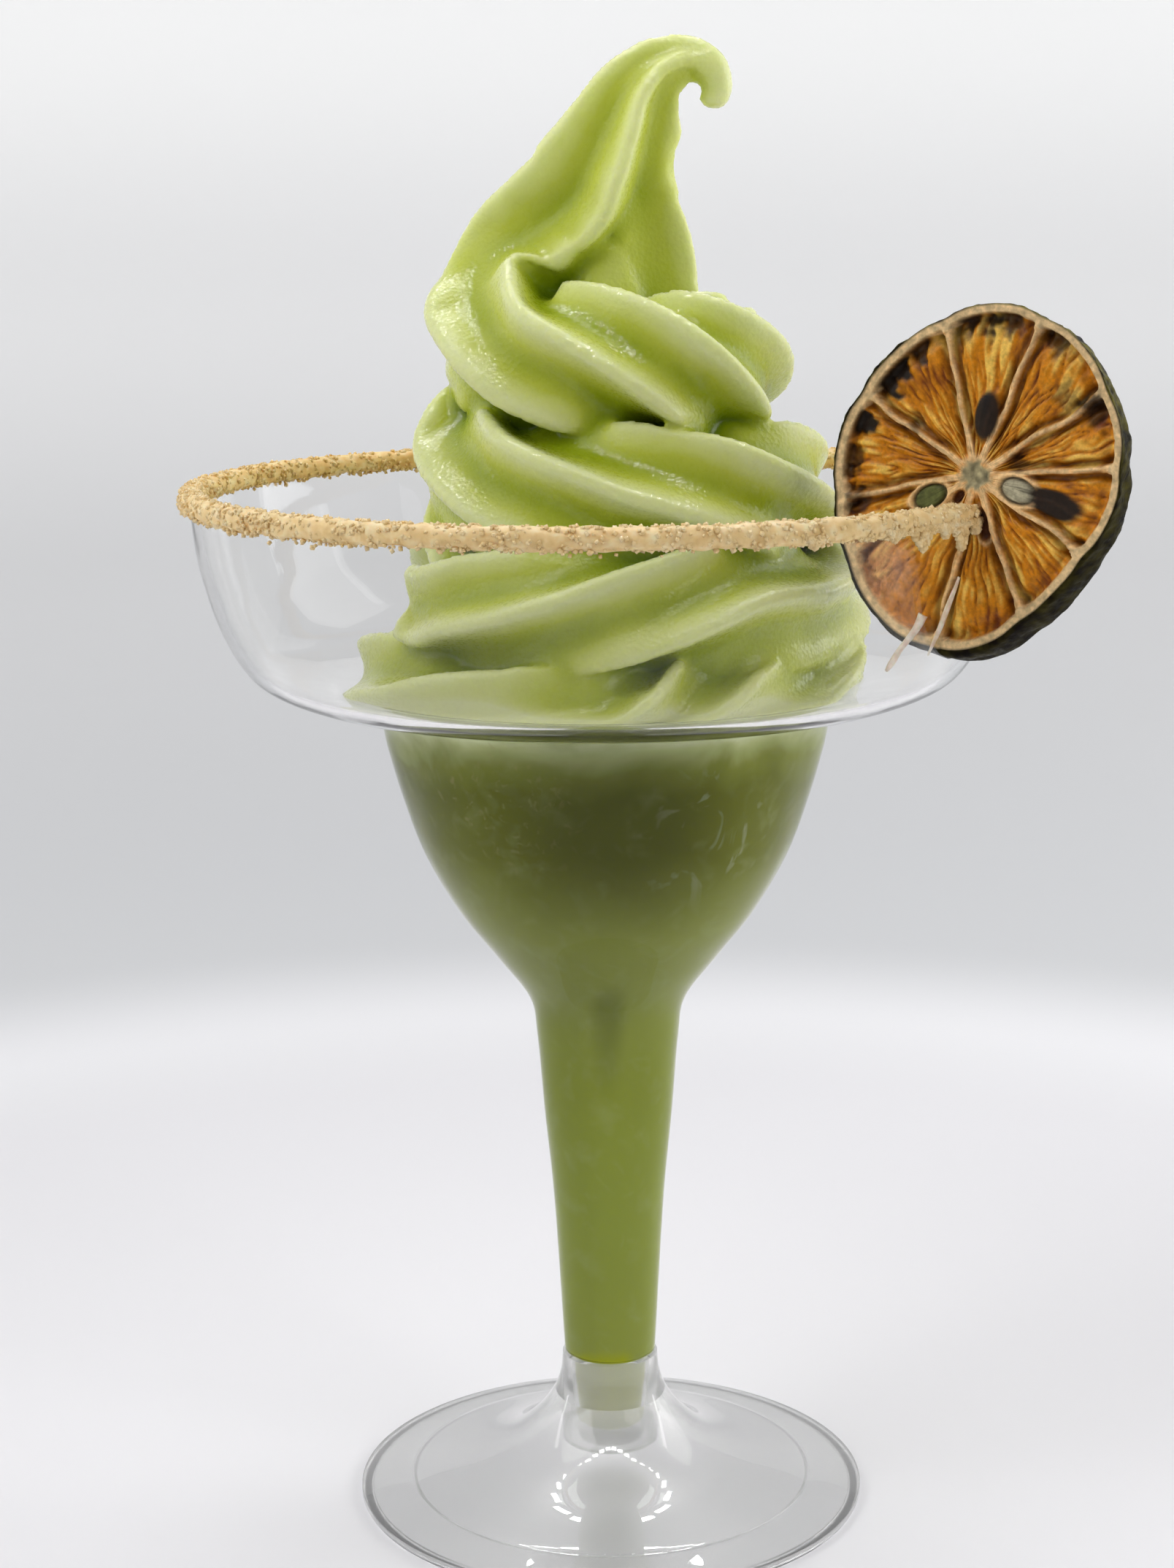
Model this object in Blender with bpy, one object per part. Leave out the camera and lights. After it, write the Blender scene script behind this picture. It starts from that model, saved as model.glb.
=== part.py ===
"""Frozen margarita in a two-piece clear plastic glass, with a sugared rim and a dried lime slice.

Lengths are in millimetres up to mesh_object, which makes metres of them. +Z is up and the front is -Y.
The origin is on the table, on the axis of the glass. The slice stands between +X and -Y.
"""

import math

import bpy
import numpy as np
from mathutils import Matrix

MM = 0.001
GAP = 0.3

# Glass: (radius, height) stations up the outside
WALL = 1.3
STEM = ((6.6, 21.4), (7.9, 44.0), (9.15, 57.4), (10.1, 69.0))
BULB = ((11.2, 74.9), (15.9, 81.3), (20.9, 87.8), (25.7, 96.3), (28.7, 104.7), (30.6, 111.5))
NECK = ((31.5, 115.2), (33.6, 117.6), (38.0, 118.5))
DISH = ((44.0, 119.7), (49.2, 122.4), (52.9, 128.2), (55.1, 134.6), (56.4, 140.8), (57.0, 147.0))
LIP_RADIUS, LIP_HEIGHT = DISH[-1]
SHOULDER_HEIGHT = STEM[0][1]
PLUG_TOP_RADIUS, PLUG_BOTTOM_RADIUS = 5.4, 4.8
PLUG_BOTTOM = 7.6
BORE_BOTTOM = 10.0
GLASS_SIDES = 36

# Foot: stations down the outside, from the collar to the rim
FLARE = ((6.9, 20.9), (7.3, 17.5), (8.6, 14.3), (11.2, 10.9), (15.2, 7.6), (21.0, 5.0), (28.5, 3.0))
FLANGE = ((29.8, 2.55), (34.6, 1.75), (36.7, 1.3))
FOOT_WALL = 1.2
COLLAR_TOP = FLARE[0][1]
SOCKET_RADIUS = 5.75
SOCKET_BOTTOM = 7.4
RIM_RING = (34.9, 36.3)

# Drink in the lower bowl and stem
DRINK_LEVEL = 118.2
DRINK_SIDES = 32

# Swirl: a strand from a star nozzle that keeps its bearing while the glass moves round under it
RIBS = 5
RIB_BEARING = math.radians(-80)
RIB_DEPTH = 0.34
CREST_ROUNDNESS = 0.16
SWIRL_BASE = DRINK_LEVEL + 0.4
STRAND_SIDES = 72
MERGE_GRAIN = 0.8
SWIRL_KEPT = 0.052
SWIRL_TURN = math.radians(-12)
SWIRL_HEART = ((0, 118), (31, 118), (24, 128), (20, 135), (14, 151), (12, 158), (8, 166), (5, 180), (0, 186))

# Sugar crust on the lip
SUGAR_SECTION = (
    (57.35, 144.6),
    (58.4, 144.7),
    (59.1, 146.2),
    (58.7, 147.9),
    (57.4, 148.8),
    (55.4, 148.8),
    (53.9, 147.8),
    (53.5, 146.3),
    (54.2, 145.0),
    (55.05, 144.8),
    (55.05, 147.7),
    (57.35, 147.7),
)
SUGAR_GROOVE_POINTS = (0, 9, 10, 11)
SUGAR_ROUGHNESS = 0.35
SUGAR_STEPS = 72

# Dried lime slice, standing in a plane through the axis of the glass
SLICE_BEARING = math.radians(-45)
SLICE_HALF_THICKNESS = 2.7
CORE_DISTANCE, CORE_HEIGHT = 57.7, 151.8
SLICE_RADIUS = 20.9
SLICE_LOBES = ((1, 0.55, -170.0), (2, 2.1, 115.0), (3, 0.4, 41.0), (4, 0.4, -58.0))
SEGMENT_EDGES = (5, 32, 66, 104, 150, 190, 211, 254, 291, 326)
RINGS = (0.07, 0.16, 0.34, 0.56, 0.78, 0.9, 0.95, 1.0)
RIND_START = 0.92
FLESH_SINK = 1.3
MEMBRANE_HALF_WIDTH = 0.8
SLOT_WIDTH = WALL + 2 * GAP + 0.3
SEEDS = ((1.3, 7.6, 3.2, 1.7), (-6.5, -3.0, 2.6, 1.5), (5.7, -1.7, 2.8, 1.9), (11.4, -3.7, 2.6, 1.7))


def clear_scene():
    for old in list(bpy.data.objects):
        bpy.data.objects.remove(old, do_unlink=True)


def material(name, colour, roughness, transmission=0.0):
    made = bpy.data.materials.new(name)
    made.use_nodes = True
    shader = made.node_tree.nodes["Principled BSDF"]
    shader.inputs["Base Color"].default_value = (*colour, 1.0)
    shader.inputs["Roughness"].default_value = roughness
    shader.inputs["Metallic"].default_value = 0.0
    shader.inputs["Transmission Weight"].default_value = transmission
    return made


def mesh_object(name, vertices, faces):
    """A mesh in metres from points in millimetres."""
    mesh = bpy.data.meshes.new(name)
    mesh.from_pydata([tuple(point) for point in np.asarray(vertices) * MM], [], faces)
    mesh.update()
    thing = bpy.data.objects.new(name, mesh)
    bpy.context.scene.collection.objects.link(thing)
    return thing


def finish(thing, look):
    thing.data.materials.clear()
    thing.data.materials.append(look)
    thing.data.shade_smooth()
    thing.data.set_sharp_from_angle(angle=math.radians(40))


def apply_modifier(thing, name):
    bpy.context.view_layer.objects.active = thing
    bpy.ops.object.modifier_apply(modifier=name)


def boolean(thing, other, operation):
    """Cuts or joins another closed mesh and removes it."""
    step = thing.modifiers.new("boolean", "BOOLEAN")
    step.object = other
    step.operation = operation
    apply_modifier(thing, step.name)
    bpy.data.objects.remove(other, do_unlink=True)


def spline(rows, steps):
    """A smooth line through rows of numbers, with steps samples to each stretch."""
    rows = np.asarray(rows, float)
    ends = np.vstack([2 * rows[0] - rows[1], rows, 2 * rows[-1] - rows[-2]])
    line = []
    for before, start, end, after in zip(ends, ends[1:], ends[2:], ends[3:]):
        for t in np.arange(steps) / steps:
            bend = 2 * before - 5 * start + 4 * end - after
            twist = 3 * start - before - 3 * end + after
            line.append(start + 0.5 * ((end - before) * t + bend * t**2 + twist * t**3))
    line.append(rows[-1])
    return np.array(line)


def moved_sideways(line, distance):
    """The outline moved to its left, as seen going along it with radius to the right and height up."""
    along = np.gradient(line, axis=0)
    along /= np.linalg.norm(along, axis=1)[:, None]
    return line + distance * np.column_stack([-along[:, 1], along[:, 0]])


def tube_faces(rings, count, closed):
    """Quads between rings of equally many points, where a ring may be one point repeated."""
    faces = []
    pairs = list(zip(rings, rings[1:]))
    if closed:
        pairs.append((rings[-1], rings[0]))
    for lower, upper in pairs:
        for side in range(count):
            after = (side + 1) % count
            corners = dict.fromkeys((lower[side], lower[after], upper[after], upper[side]))
            if len(corners) > 2:
                faces.append(tuple(corners))
    return faces


def turned(name, profile, sides):
    """A closed (radius, height) outline turned about Z. It goes up its outer side and down its inner side."""
    vertices = []
    rings = []
    for radius, height in profile:
        first = len(vertices)
        if radius == 0:
            vertices.append((0.0, 0.0, height))
            rings.append([first] * sides)
            continue
        rings.append(list(range(first, first + sides)))
        for side in range(sides):
            angle = math.tau * side / sides
            vertices.append((radius * math.cos(angle), radius * math.sin(angle), height))
    return mesh_object(name, vertices, tube_faces(rings, sides, True))


def bowl_outside():
    return spline(STEM + BULB + NECK + DISH, 1)


def glass_bowl():
    """Dish, lower bowl and hollow stem in one moulding, with a plug under the stem that closes it."""
    outside = bowl_outside()
    inside = moved_sideways(outside, WALL)
    plug = [
        (0, PLUG_BOTTOM),
        (PLUG_BOTTOM_RADIUS - 0.7, PLUG_BOTTOM),
        (PLUG_BOTTOM_RADIUS, PLUG_BOTTOM + 0.8),
        (PLUG_TOP_RADIUS, SHOULDER_HEIGHT - 0.1),
    ]
    lip = [(LIP_RADIUS - 0.3, LIP_HEIGHT + 0.35), (LIP_RADIUS - WALL + 0.3, LIP_HEIGHT + 0.35)]
    bore = [(PLUG_BOTTOM_RADIUS - WALL, BORE_BOTTOM + 0.8), (2.4, BORE_BOTTOM), (0, BORE_BOTTOM)]
    profile = plug + list(outside) + lip + list(inside[::-1]) + bore
    return turned("glass_bowl", profile, GLASS_SIDES)


def glass_foot():
    """A thin flared foot on its outer rim, with a collar and a socket tube that take the plug."""
    outside = spline(FLARE + FLANGE, 1)
    inside = moved_sideways(outside, -FOOT_WALL)
    tube_radius = SOCKET_RADIUS + FOOT_WALL
    inside = inside[(inside[:, 0] > tube_radius + 0.2) & (inside[:, 0] < RIM_RING[0])]
    rim = [(RIM_RING[0], 0.0), (RIM_RING[1], 0.0), (FLANGE[-1][0], 0.4)]
    socket = [(SOCKET_RADIUS, COLLAR_TOP), (SOCKET_RADIUS, SOCKET_BOTTOM), (tube_radius, SOCKET_BOTTOM)]
    profile = rim + list(outside[::-1]) + socket + list(inside)
    return turned("glass_foot", profile, GLASS_SIDES)


def drink_fill():
    """The drink below the dish, clear of the wall by the gap."""
    outside = bowl_outside()
    edge = moved_sideways(outside, WALL + GAP)
    edge = edge[edge[:, 1] < DRINK_LEVEL - 0.5]
    top_radius = edge[-1][0] + 0.3
    bottom = [(0, BORE_BOTTOM + GAP), (2.2, BORE_BOTTOM + GAP), (PLUG_BOTTOM_RADIUS - WALL - GAP, BORE_BOTTOM + 1.2)]
    profile = bottom + list(edge) + [(top_radius, DRINK_LEVEL), (0, DRINK_LEVEL)]
    return turned("drink_fill", profile, DRINK_SIDES)


def around(bearing, distance, height, thickness, shift=0.0, twist=0.0):
    """A station of a strand: its bearing in degrees and distance from an axis shifted along X."""
    angle = math.radians(bearing)
    return (shift + distance * math.cos(angle), distance * math.sin(angle), height, thickness, RIB_DEPTH, twist)


def upper_strand():
    """From inside the pile up to the hooked tip, clockwise as seen from above."""
    lower_coil = [
        around(205, 12.0, 133.0, 9.0, 1),
        around(180, 16.0, 137.0, 9.6, 1),
        around(150, 18.0, 141.5, 9.8, 1),
        around(90, 18.0, 144.0, 9.8, 1),
        around(45, 19.5, 145.2, 10.2, 2, -16),
        around(0, 20.6, 146.0, 10.6, 2, -16),
        around(-45, 19.4, 146.8, 10.4, 2, -5),
        around(-90, 17.2, 147.4, 10.3, 1),
        around(-135, 16.8, 148.6, 10.2, 0.5),
    ]
    upper_coil = [
        around(-180, 16.4, 150.6, 10.2),
        around(-210, 14.8, 156.0, 9.9),
        around(-240, 13.0, 160.0, 9.8),
        around(-270, 12.0, 162.6, 9.8, 0.5),
        around(-315, 13.0, 163.2, 10.3, 0.8),
        around(-360, 14.2, 162.8, 10.8, 0.8, 14),
        around(-405, 13.8, 163.2, 10.8, 0.8, 38),
        around(-450, 12.2, 164.4, 10.6, 0.6, 64),
        around(-495, 13.0, 165.6, 10.8, 0, 76),
        around(-530, 13.2, 168.2, 11.6, 0, 72),
    ]
    peak = [
        (-11.8, 2.6, 171.8, 11.8, RIB_DEPTH, 57),
        (-8.6, 4.8, 176.4, 12.0, RIB_DEPTH, 60),
        (-4.4, 4.6, 181.4, 12.0, 0.38, 65),
        (-1.0, 3.4, 186.4, 11.6, 0.42, 69),
        (1.2, 2.0, 191.2, 10.4, 0.42, 69),
        (3.1, 0.9, 195.8, 8.3, 0.4, 69),
        (5.0, 0.3, 200.0, 6.3, 0.36, 67),
    ]
    hook = [
        (7.8, 0.0, 203.1, 4.4, 0.28, 64),
        (11.4, 0.0, 204.4, 3.1, 0.15, 64),
        (14.2, 0.0, 203.4, 2.4, 0.03, 64),
        (15.3, 0.0, 201.2, 1.8, 0.0, 64),
        (15.1, 0.0, 199.4, 1.4, 0.0, 64),
    ]
    return lower_coil + upper_coil + peak + hook


def column_strand():
    """The upright stretch under the peak, which fills its base at the right and back."""
    return [
        (2.0, 4.0, 162.0, 8.0, RIB_DEPTH, 2),
        (2.2, 4.4, 169.0, 11.0, RIB_DEPTH, 2),
        (2.0, 4.4, 176.0, 12.6, RIB_DEPTH, 2),
        (2.0, 3.6, 182.0, 12.4, RIB_DEPTH, 2),
        (2.2, 2.6, 188.0, 10.7, RIB_DEPTH, 2),
        (2.4, 1.6, 193.0, 8.0, RIB_DEPTH, 2),
    ]


def middle_strand():
    """One turn the other way, with a blunt end that shows at the front left."""
    return [
        around(203, 24.0, 131.5, 7.8, 0, 28),
        around(225, 23.5, 132.0, 8.8, 0, 28),
        around(250, 23.5, 132.4, 9.4, 0, 28),
        around(275, 24.0, 132.8, 9.6, 0, 22),
        around(305, 25.5, 132.8, 9.8, 0, 8),
        around(335, 26.5, 131.6, 9.6, 0, 26),
        around(365, 28.0, 131.0, 9.4, 0, 30),
        around(400, 27.0, 132.0, 9.4, 0, 30),
        around(440, 25.0, 133.0, 9.4, 0, 30),
        around(480, 23.0, 134.0, 9.4, 0, 30),
        around(515, 20.0, 135.5, 9.2, 0, 30),
        around(540, 16.0, 137.0, 8.5, 0, 30),
    ]


def floor_strand():
    """The first turn, spread on the floor of the dish."""
    return [
        around(150, 26.0, 120.5, 8.5, 0, -14),
        around(185, 28.0, 119.0, 9.5, 0, -14),
        around(215, 27.5, 118.4, 9.8, 0, -14),
        around(245, 26.0, 118.4, 9.8, 0, -13),
        around(268, 25.4, 118.8, 9.8, 0, -8),
        around(280, 25.2, 119.0, 9.8, 0, -26),
        around(292, 25.4, 119.0, 9.8, 0, -62),
        around(308, 25.8, 119.2, 9.8, 0, -84),
        around(335, 27.0, 119.8, 9.6, 0, -104),
        around(365, 28.5, 120.6, 9.5, 0, -112),
        around(400, 28.5, 121.4, 9.5, 0, -112),
        around(440, 27.0, 122.4, 9.2, 0, -112),
        around(480, 25.0, 123.4, 9.2, 0, -112),
        around(510, 22.0, 126.0, 9.0, 0, -112),
    ]


def nozzle_axes(direction):
    """The level nozzle's two axes, tipped the short way from upright to the strand's direction."""
    x, y, z = direction
    turn = 1.0 / (1.0 + z)
    return np.array((1 - x * x * turn, -x * y * turn, -x)), np.array((-x * y * turn, 1 - y * y * turn, -y))


def star(angles, depth):
    """The nozzle's outline: rounded crests with wide hollows between them."""
    wave = np.abs(np.sin(RIBS / 2 * (angles - RIB_BEARING)))
    hollow = np.hypot(wave, CREST_ROUNDNESS) - CREST_ROUNDNESS
    deepest = math.hypot(1, CREST_ROUNDNESS) - CREST_ROUNDNESS
    return 1 - depth * hollow / deepest


def strand(name, stations, bluntness=0.5, steps=8, end_rings=5):
    """A star section swept along its stations, with rounded ends."""
    path = spline(stations, steps)
    centres, thickness, depths, twists = path[:, :3], path[:, 3], path[:, 4], np.radians(path[:, 5])
    directions = np.gradient(centres, axis=0)
    directions /= np.linalg.norm(directions, axis=1)[:, None]
    angles = np.linspace(0, math.tau, STRAND_SIDES, endpoint=False)

    def ring(index, ahead, size):
        across, over = nozzle_axes(directions[index])
        reach = thickness[index] * size * star(angles - twists[index], depths[index])
        middle = centres[index] + directions[index] * ahead * thickness[index] * bluntness
        return middle + np.outer(reach * np.cos(angles), across) + np.outer(reach * np.sin(angles), over)

    closing = [math.radians(90 * step / end_rings) for step in range(1, end_rings)]
    rings = [ring(0, -math.sin(turn), math.cos(turn)) for turn in closing[::-1]]
    rings += [ring(index, 0, 1) for index in range(len(path))]
    rings += [ring(-1, math.sin(turn), math.cos(turn)) for turn in closing]
    numbers = np.arange(len(rings) * STRAND_SIDES).reshape(len(rings), STRAND_SIDES)
    faces = tube_faces(numbers.tolist(), STRAND_SIDES, False)
    faces.append(tuple(numbers[0][::-1].tolist()))
    faces.append(tuple(numbers[-1].tolist()))
    return mesh_object(name, np.vstack(rings), faces)


def swirl_clearance():
    """Everything below the swirl: the dish with its gap, and the drink's top."""
    edge = moved_sideways(bowl_outside(), WALL + GAP + 0.1)
    edge = edge[edge[:, 1] > SWIRL_BASE + 0.3]
    below = [(0, SWIRL_BASE - 30), (LIP_RADIUS + 20, SWIRL_BASE - 30), (LIP_RADIUS + 20, LIP_HEIGHT)]
    return turned("clearance", below + list(edge[::-1]) + [(edge[0][0] - 1.0, SWIRL_BASE), (0, SWIRL_BASE)], 72)


def swirl():
    """The strands merged into one pile, with a solid heart."""
    pile = strand("swirl", upper_strand())
    extra = [
        strand("column", column_strand()),
        strand("middle", middle_strand(), 0.35),
        strand("floor", floor_strand()),
        turned("heart", SWIRL_HEART, 36),
    ]
    pile.select_set(True)
    for piece in extra:
        piece.select_set(True)
    bpy.context.view_layer.objects.active = pile
    bpy.ops.object.join()
    merge = pile.modifiers.new("merge", "REMESH")
    merge.mode = "VOXEL"
    merge.voxel_size = MERGE_GRAIN * MM
    apply_modifier(pile, merge.name)
    soften = pile.modifiers.new("soften", "SMOOTH")
    soften.iterations = 2
    apply_modifier(pile, soften.name)
    boolean(pile, swirl_clearance(), "DIFFERENCE")
    coarser = pile.modifiers.new("coarser", "DECIMATE")
    coarser.ratio = SWIRL_KEPT
    apply_modifier(pile, coarser.name)
    pile.data.transform(Matrix.Rotation(SWIRL_TURN, 4, "Z"))
    return pile


def sugar_rim():
    """An uneven crust over the lip, open where the slice stands."""
    half_opening = (SLICE_HALF_THICKNESS + 0.6) / LIP_RADIUS
    angles = np.linspace(half_opening, math.tau - half_opening, SUGAR_STEPS) + SLICE_BEARING
    count = len(SUGAR_SECTION)
    vertices = []
    for angle in angles:
        for number, (radius, height) in enumerate(SUGAR_SECTION):
            if number not in SUGAR_GROOVE_POINTS:
                uneven = math.sin(angle * 23 + number * 2.1) + math.sin(angle * 37 + number * 4.3)
                radius += SUGAR_ROUGHNESS * uneven * 0.5 * (1 if radius > LIP_RADIUS else -1)
                height += SUGAR_ROUGHNESS * 0.5 * math.sin(angle * 29 + number * 3.7)
            vertices.append((radius * math.cos(angle), radius * math.sin(angle), height))
    numbers = np.arange(len(vertices)).reshape(len(angles), count)
    faces = tube_faces(numbers[::-1].tolist(), count, False)
    faces.append(tuple(numbers[0].tolist()))
    faces.append(tuple(numbers[-1][::-1].tolist()))
    return mesh_object("sugar_rim", vertices, faces)


def in_slice(across, up, depth):
    """A point of the slice: outwards and up from its core, and out of its front face."""
    outward = CORE_DISTANCE + across
    cosine, sine = math.cos(SLICE_BEARING), math.sin(SLICE_BEARING)
    return (outward * cosine + depth * sine, outward * sine - depth * cosine, CORE_HEIGHT + up)


def slice_radius(angle):
    lobes = sum(size * math.cos(order * angle - math.radians(lean)) for order, size, lean in SLICE_LOBES)
    return SLICE_RADIUS + lobes


def slice_depth(share, angle):
    """Half the slice's thickness, less where the flesh has dried away from rind and membranes."""
    if share >= RIND_START:
        return SLICE_HALF_THICKNESS
    turns = [abs((math.degrees(angle) - edge + 180) % 360 - 180) for edge in SEGMENT_EDGES]
    off_membrane = math.radians(min(turns)) * share * SLICE_RADIUS
    between = 1 - math.exp(-((off_membrane / MEMBRANE_HALF_WIDTH) ** 2))
    return SLICE_HALF_THICKNESS - 0.3 - FLESH_SINK * between


def slice_spokes():
    """Directions from the core: on each membrane, close beside it and across the flesh."""
    spokes = []
    for edge, following in zip(SEGMENT_EDGES, SEGMENT_EDGES[1:] + (SEGMENT_EDGES[0] + 360,)):
        for share in (0.0, 0.2, 0.5, 0.8):
            spokes.append(math.radians(edge + share * (following - edge)))
    return spokes


def seed(number, across, up, long, wide):
    """A pip lying in the flesh, pointing at the core."""
    bpy.ops.mesh.primitive_ico_sphere_add(subdivisions=2, radius=1.0)
    pip = bpy.context.object
    pip.name = f"seed_{number}"
    lean = math.atan2(up, across)
    for corner in pip.data.vertices:
        x, y, z = corner.co
        run, side = x * long, y * wide
        place = in_slice(
            across + run * math.cos(lean) - side * math.sin(lean),
            up + run * math.sin(lean) + side * math.cos(lean),
            0.6 + z * 1.9,
        )
        corner.co = [value * MM for value in place]
    return pip


def slot_cutter():
    """A band along the wall of the dish, through the slice from below up to the lip."""
    outside = spline(NECK[-1:] + DISH, 4)
    middle = moved_sideways(outside, WALL / 2)
    middle = np.vstack([middle, (LIP_RADIUS - WALL / 2, LIP_HEIGHT + 0.9)])
    left = moved_sideways(middle, SLOT_WIDTH / 2)
    right = moved_sideways(middle, -SLOT_WIDTH / 2)
    outline = np.vstack([right, left[::-1]])
    count = len(outline)
    vertices = []
    for depth in (-2 * SLICE_HALF_THICKNESS, 2 * SLICE_HALF_THICKNESS):
        vertices += [in_slice(radius - CORE_DISTANCE, height - CORE_HEIGHT, depth) for radius, height in outline]
    numbers = np.arange(2 * count).reshape(2, count)
    faces = tube_faces(numbers.tolist(), count, False)
    faces.append(tuple(numbers[0][::-1].tolist()))
    faces.append(tuple(numbers[1].tolist()))
    return mesh_object("slot", vertices, faces)


def lime_slice():
    """A dried round with raised rind and membranes, pips, and a slot that sits on the lip."""
    spokes = slice_spokes()
    count = len(spokes)
    vertices = [in_slice(0, 0, SLICE_HALF_THICKNESS - 0.3)]
    rings = [[0] * count]
    layers = [(share, 1) for share in RINGS] + [(share, -1) for share in RINGS[::-1]]
    for share, face in layers:
        rings.append(list(range(len(vertices), len(vertices) + count)))
        for angle in spokes:
            reach = slice_radius(angle) * share
            depth = face * slice_depth(share, angle)
            vertices.append(in_slice(reach * math.cos(angle), reach * math.sin(angle), depth))
    rings.append([len(vertices)] * count)
    vertices.append(in_slice(0, 0, 0.3 - SLICE_HALF_THICKNESS))
    thing = mesh_object("lime_slice", vertices, tube_faces(rings[::-1], count, False))
    for number, place in enumerate(SEEDS):
        boolean(thing, seed(number, *place), "UNION")
    boolean(thing, slot_cutter(), "DIFFERENCE")
    return thing


def main():
    clear_scene()
    clear_plastic = (0.9, 0.92, 0.93)
    finish(glass_bowl(), material("bowl_plastic", clear_plastic, 0.05, 0.95))
    finish(glass_foot(), material("foot_plastic", clear_plastic, 0.05, 0.95))
    finish(drink_fill(), material("drink", (0.25, 0.33, 0.06), 0.35))
    finish(swirl(), material("frozen_drink", (0.42, 0.58, 0.12), 0.45))
    finish(sugar_rim(), material("sugar", (0.72, 0.52, 0.3), 0.6))
    finish(lime_slice(), material("dried_lime", (0.42, 0.2, 0.05), 0.6))


main()
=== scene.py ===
"""Frozen margarita in its plastic glass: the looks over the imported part.

Sizes are in millimetres up to each piece's mesh. The axis of the glass is at the origin, +Z is up, and the
photo looks from 12 degrees to the left of -Y.
"""

import math

import bpy
import numpy as np
from mathutils import Matrix, Vector, noise


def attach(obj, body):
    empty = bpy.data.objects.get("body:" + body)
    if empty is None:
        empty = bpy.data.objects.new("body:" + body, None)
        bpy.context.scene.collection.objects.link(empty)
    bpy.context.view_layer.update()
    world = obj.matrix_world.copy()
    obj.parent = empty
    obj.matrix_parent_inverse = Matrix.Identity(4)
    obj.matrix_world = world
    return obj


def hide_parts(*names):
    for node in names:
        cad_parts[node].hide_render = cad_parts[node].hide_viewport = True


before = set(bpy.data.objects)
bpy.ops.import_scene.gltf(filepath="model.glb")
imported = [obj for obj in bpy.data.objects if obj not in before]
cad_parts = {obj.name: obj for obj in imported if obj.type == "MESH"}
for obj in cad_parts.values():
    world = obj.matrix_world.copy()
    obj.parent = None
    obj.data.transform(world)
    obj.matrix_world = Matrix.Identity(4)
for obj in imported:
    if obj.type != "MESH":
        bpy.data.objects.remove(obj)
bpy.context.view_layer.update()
bpy.ops.object.select_all(action="DESELECT")

# Camera. A phone at about the height of the hook, 0.41 m away and tipped down at the glass.
PHOTO_TURN = math.radians(-12)
tip = Matrix.Rotation(math.radians(78.44), 4, "X") @ Matrix.Rotation(math.radians(-0.47), 4, "Z")
aim = Matrix.Rotation(PHOTO_TURN + math.radians(0.38), 4, "Z") @ tip
bpy.ops.object.camera_add(location=(-0.0849, -0.3995, 0.189), rotation=aim.to_euler())
camera = bpy.context.object
camera.data.sensor_width = 36
camera.data.lens = 67.91
bpy.context.scene.camera = camera
bpy.context.scene.view_settings.view_transform = "Standard"


# Studio light. Soft boxes high on the left, behind and on the right, and a lit room behind the glass. The room
# behind the camera is dim. A wide ring of small lamps overhead and two strips serve for the highlights alone.
def add(tree, kind, inputs, **settings):
    """A shader node, with its inputs linked or set."""
    made = tree.nodes.new("ShaderNode" + kind)
    for key, value in settings.items():
        setattr(made, key, value)
    for key, value in inputs.items():
        if isinstance(value, bpy.types.NodeSocket):
            tree.links.new(value, made.inputs[key])
        else:
            made.inputs[key].default_value = value
    return made


def soft_box(place, size, power):
    """An area lamp at a place given as the photo sees it, aimed at the swirl."""
    spot = Matrix.Rotation(PHOTO_TURN, 4, "Z") @ Vector(place)
    turn = (Vector((0, 0, 0.15)) - spot).to_track_quat("-Z", "Y").to_euler()
    bpy.ops.object.light_add(type="AREA", location=spot, rotation=turn)
    lamp = bpy.context.object
    lamp.data.shape = "RECTANGLE"
    lamp.data.size, lamp.data.size_y = size
    lamp.data.energy = power
    return lamp


soft_box((0.0, 0.25, 0.95), (0.5, 0.4), 1.65)
for spot, size, power, mirrored in (
    ((-0.5, -0.25, 0.62), (0.5, 0.5), 1.6, False),
    ((-0.48, -0.24, 0.6), (0.5, 0.5), 0.75, True),
    ((0.65, 0.25, 0.4), (0.4, 0.6), 1.55, False),
    ((0.63, 0.24, 0.39), (0.4, 0.6), 0.65, True),
    ((0.5, -0.42, 0.35), (0.4, 0.4), 1.35, False),
):
    soft_box(spot, size, power).visible_glossy = mirrored
shiny = []
for step in range(22):
    turn = math.radians(105 + 330 * step / 21)
    spot = (0.005 + 0.345 * math.cos(turn), 0.09 + 0.49 * math.sin(turn), 0.9)
    shiny.append(soft_box(spot, (0.07, 0.03), 0.32))
shiny += [soft_box((side, 0.95, 0.9), (0.03, 0.03), 0.14) for side in (-0.12, 0.13)]
shiny += [soft_box((side, 0.08, 0.33), (0.04, 0.5), 0.2) for side in (-0.6, 0.6)]
for lamp in shiny:
    lamp.visible_diffuse = False
    lamp.visible_transmission = False
world = bpy.data.worlds.new("room")
world.use_nodes = True
tree = world.node_tree
way = add(tree, "SeparateXYZ", {"Vector": add(tree, "TexCoord", {}).outputs["Generated"]})
lit = add(tree, "MapRange", {"Value": way.outputs["Y"], "From Min": -0.8, "From Max": 0.3, "To Min": 0.15, "To Max": 0.6})
tree.links.new(lit.outputs["Result"], tree.nodes["Background"].inputs["Strength"])
tree.nodes["Background"].inputs["Color"].default_value = (0.98, 0.99, 1.0, 1)
bpy.context.scene.world = world


# Floor and backdrop. A pale sheet that turns greyer away from the glass and rises into a wall all round.
# Its colour and emission are painted light and shade, and painted shade darkens it behind the camera.
MM = 0.001


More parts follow.
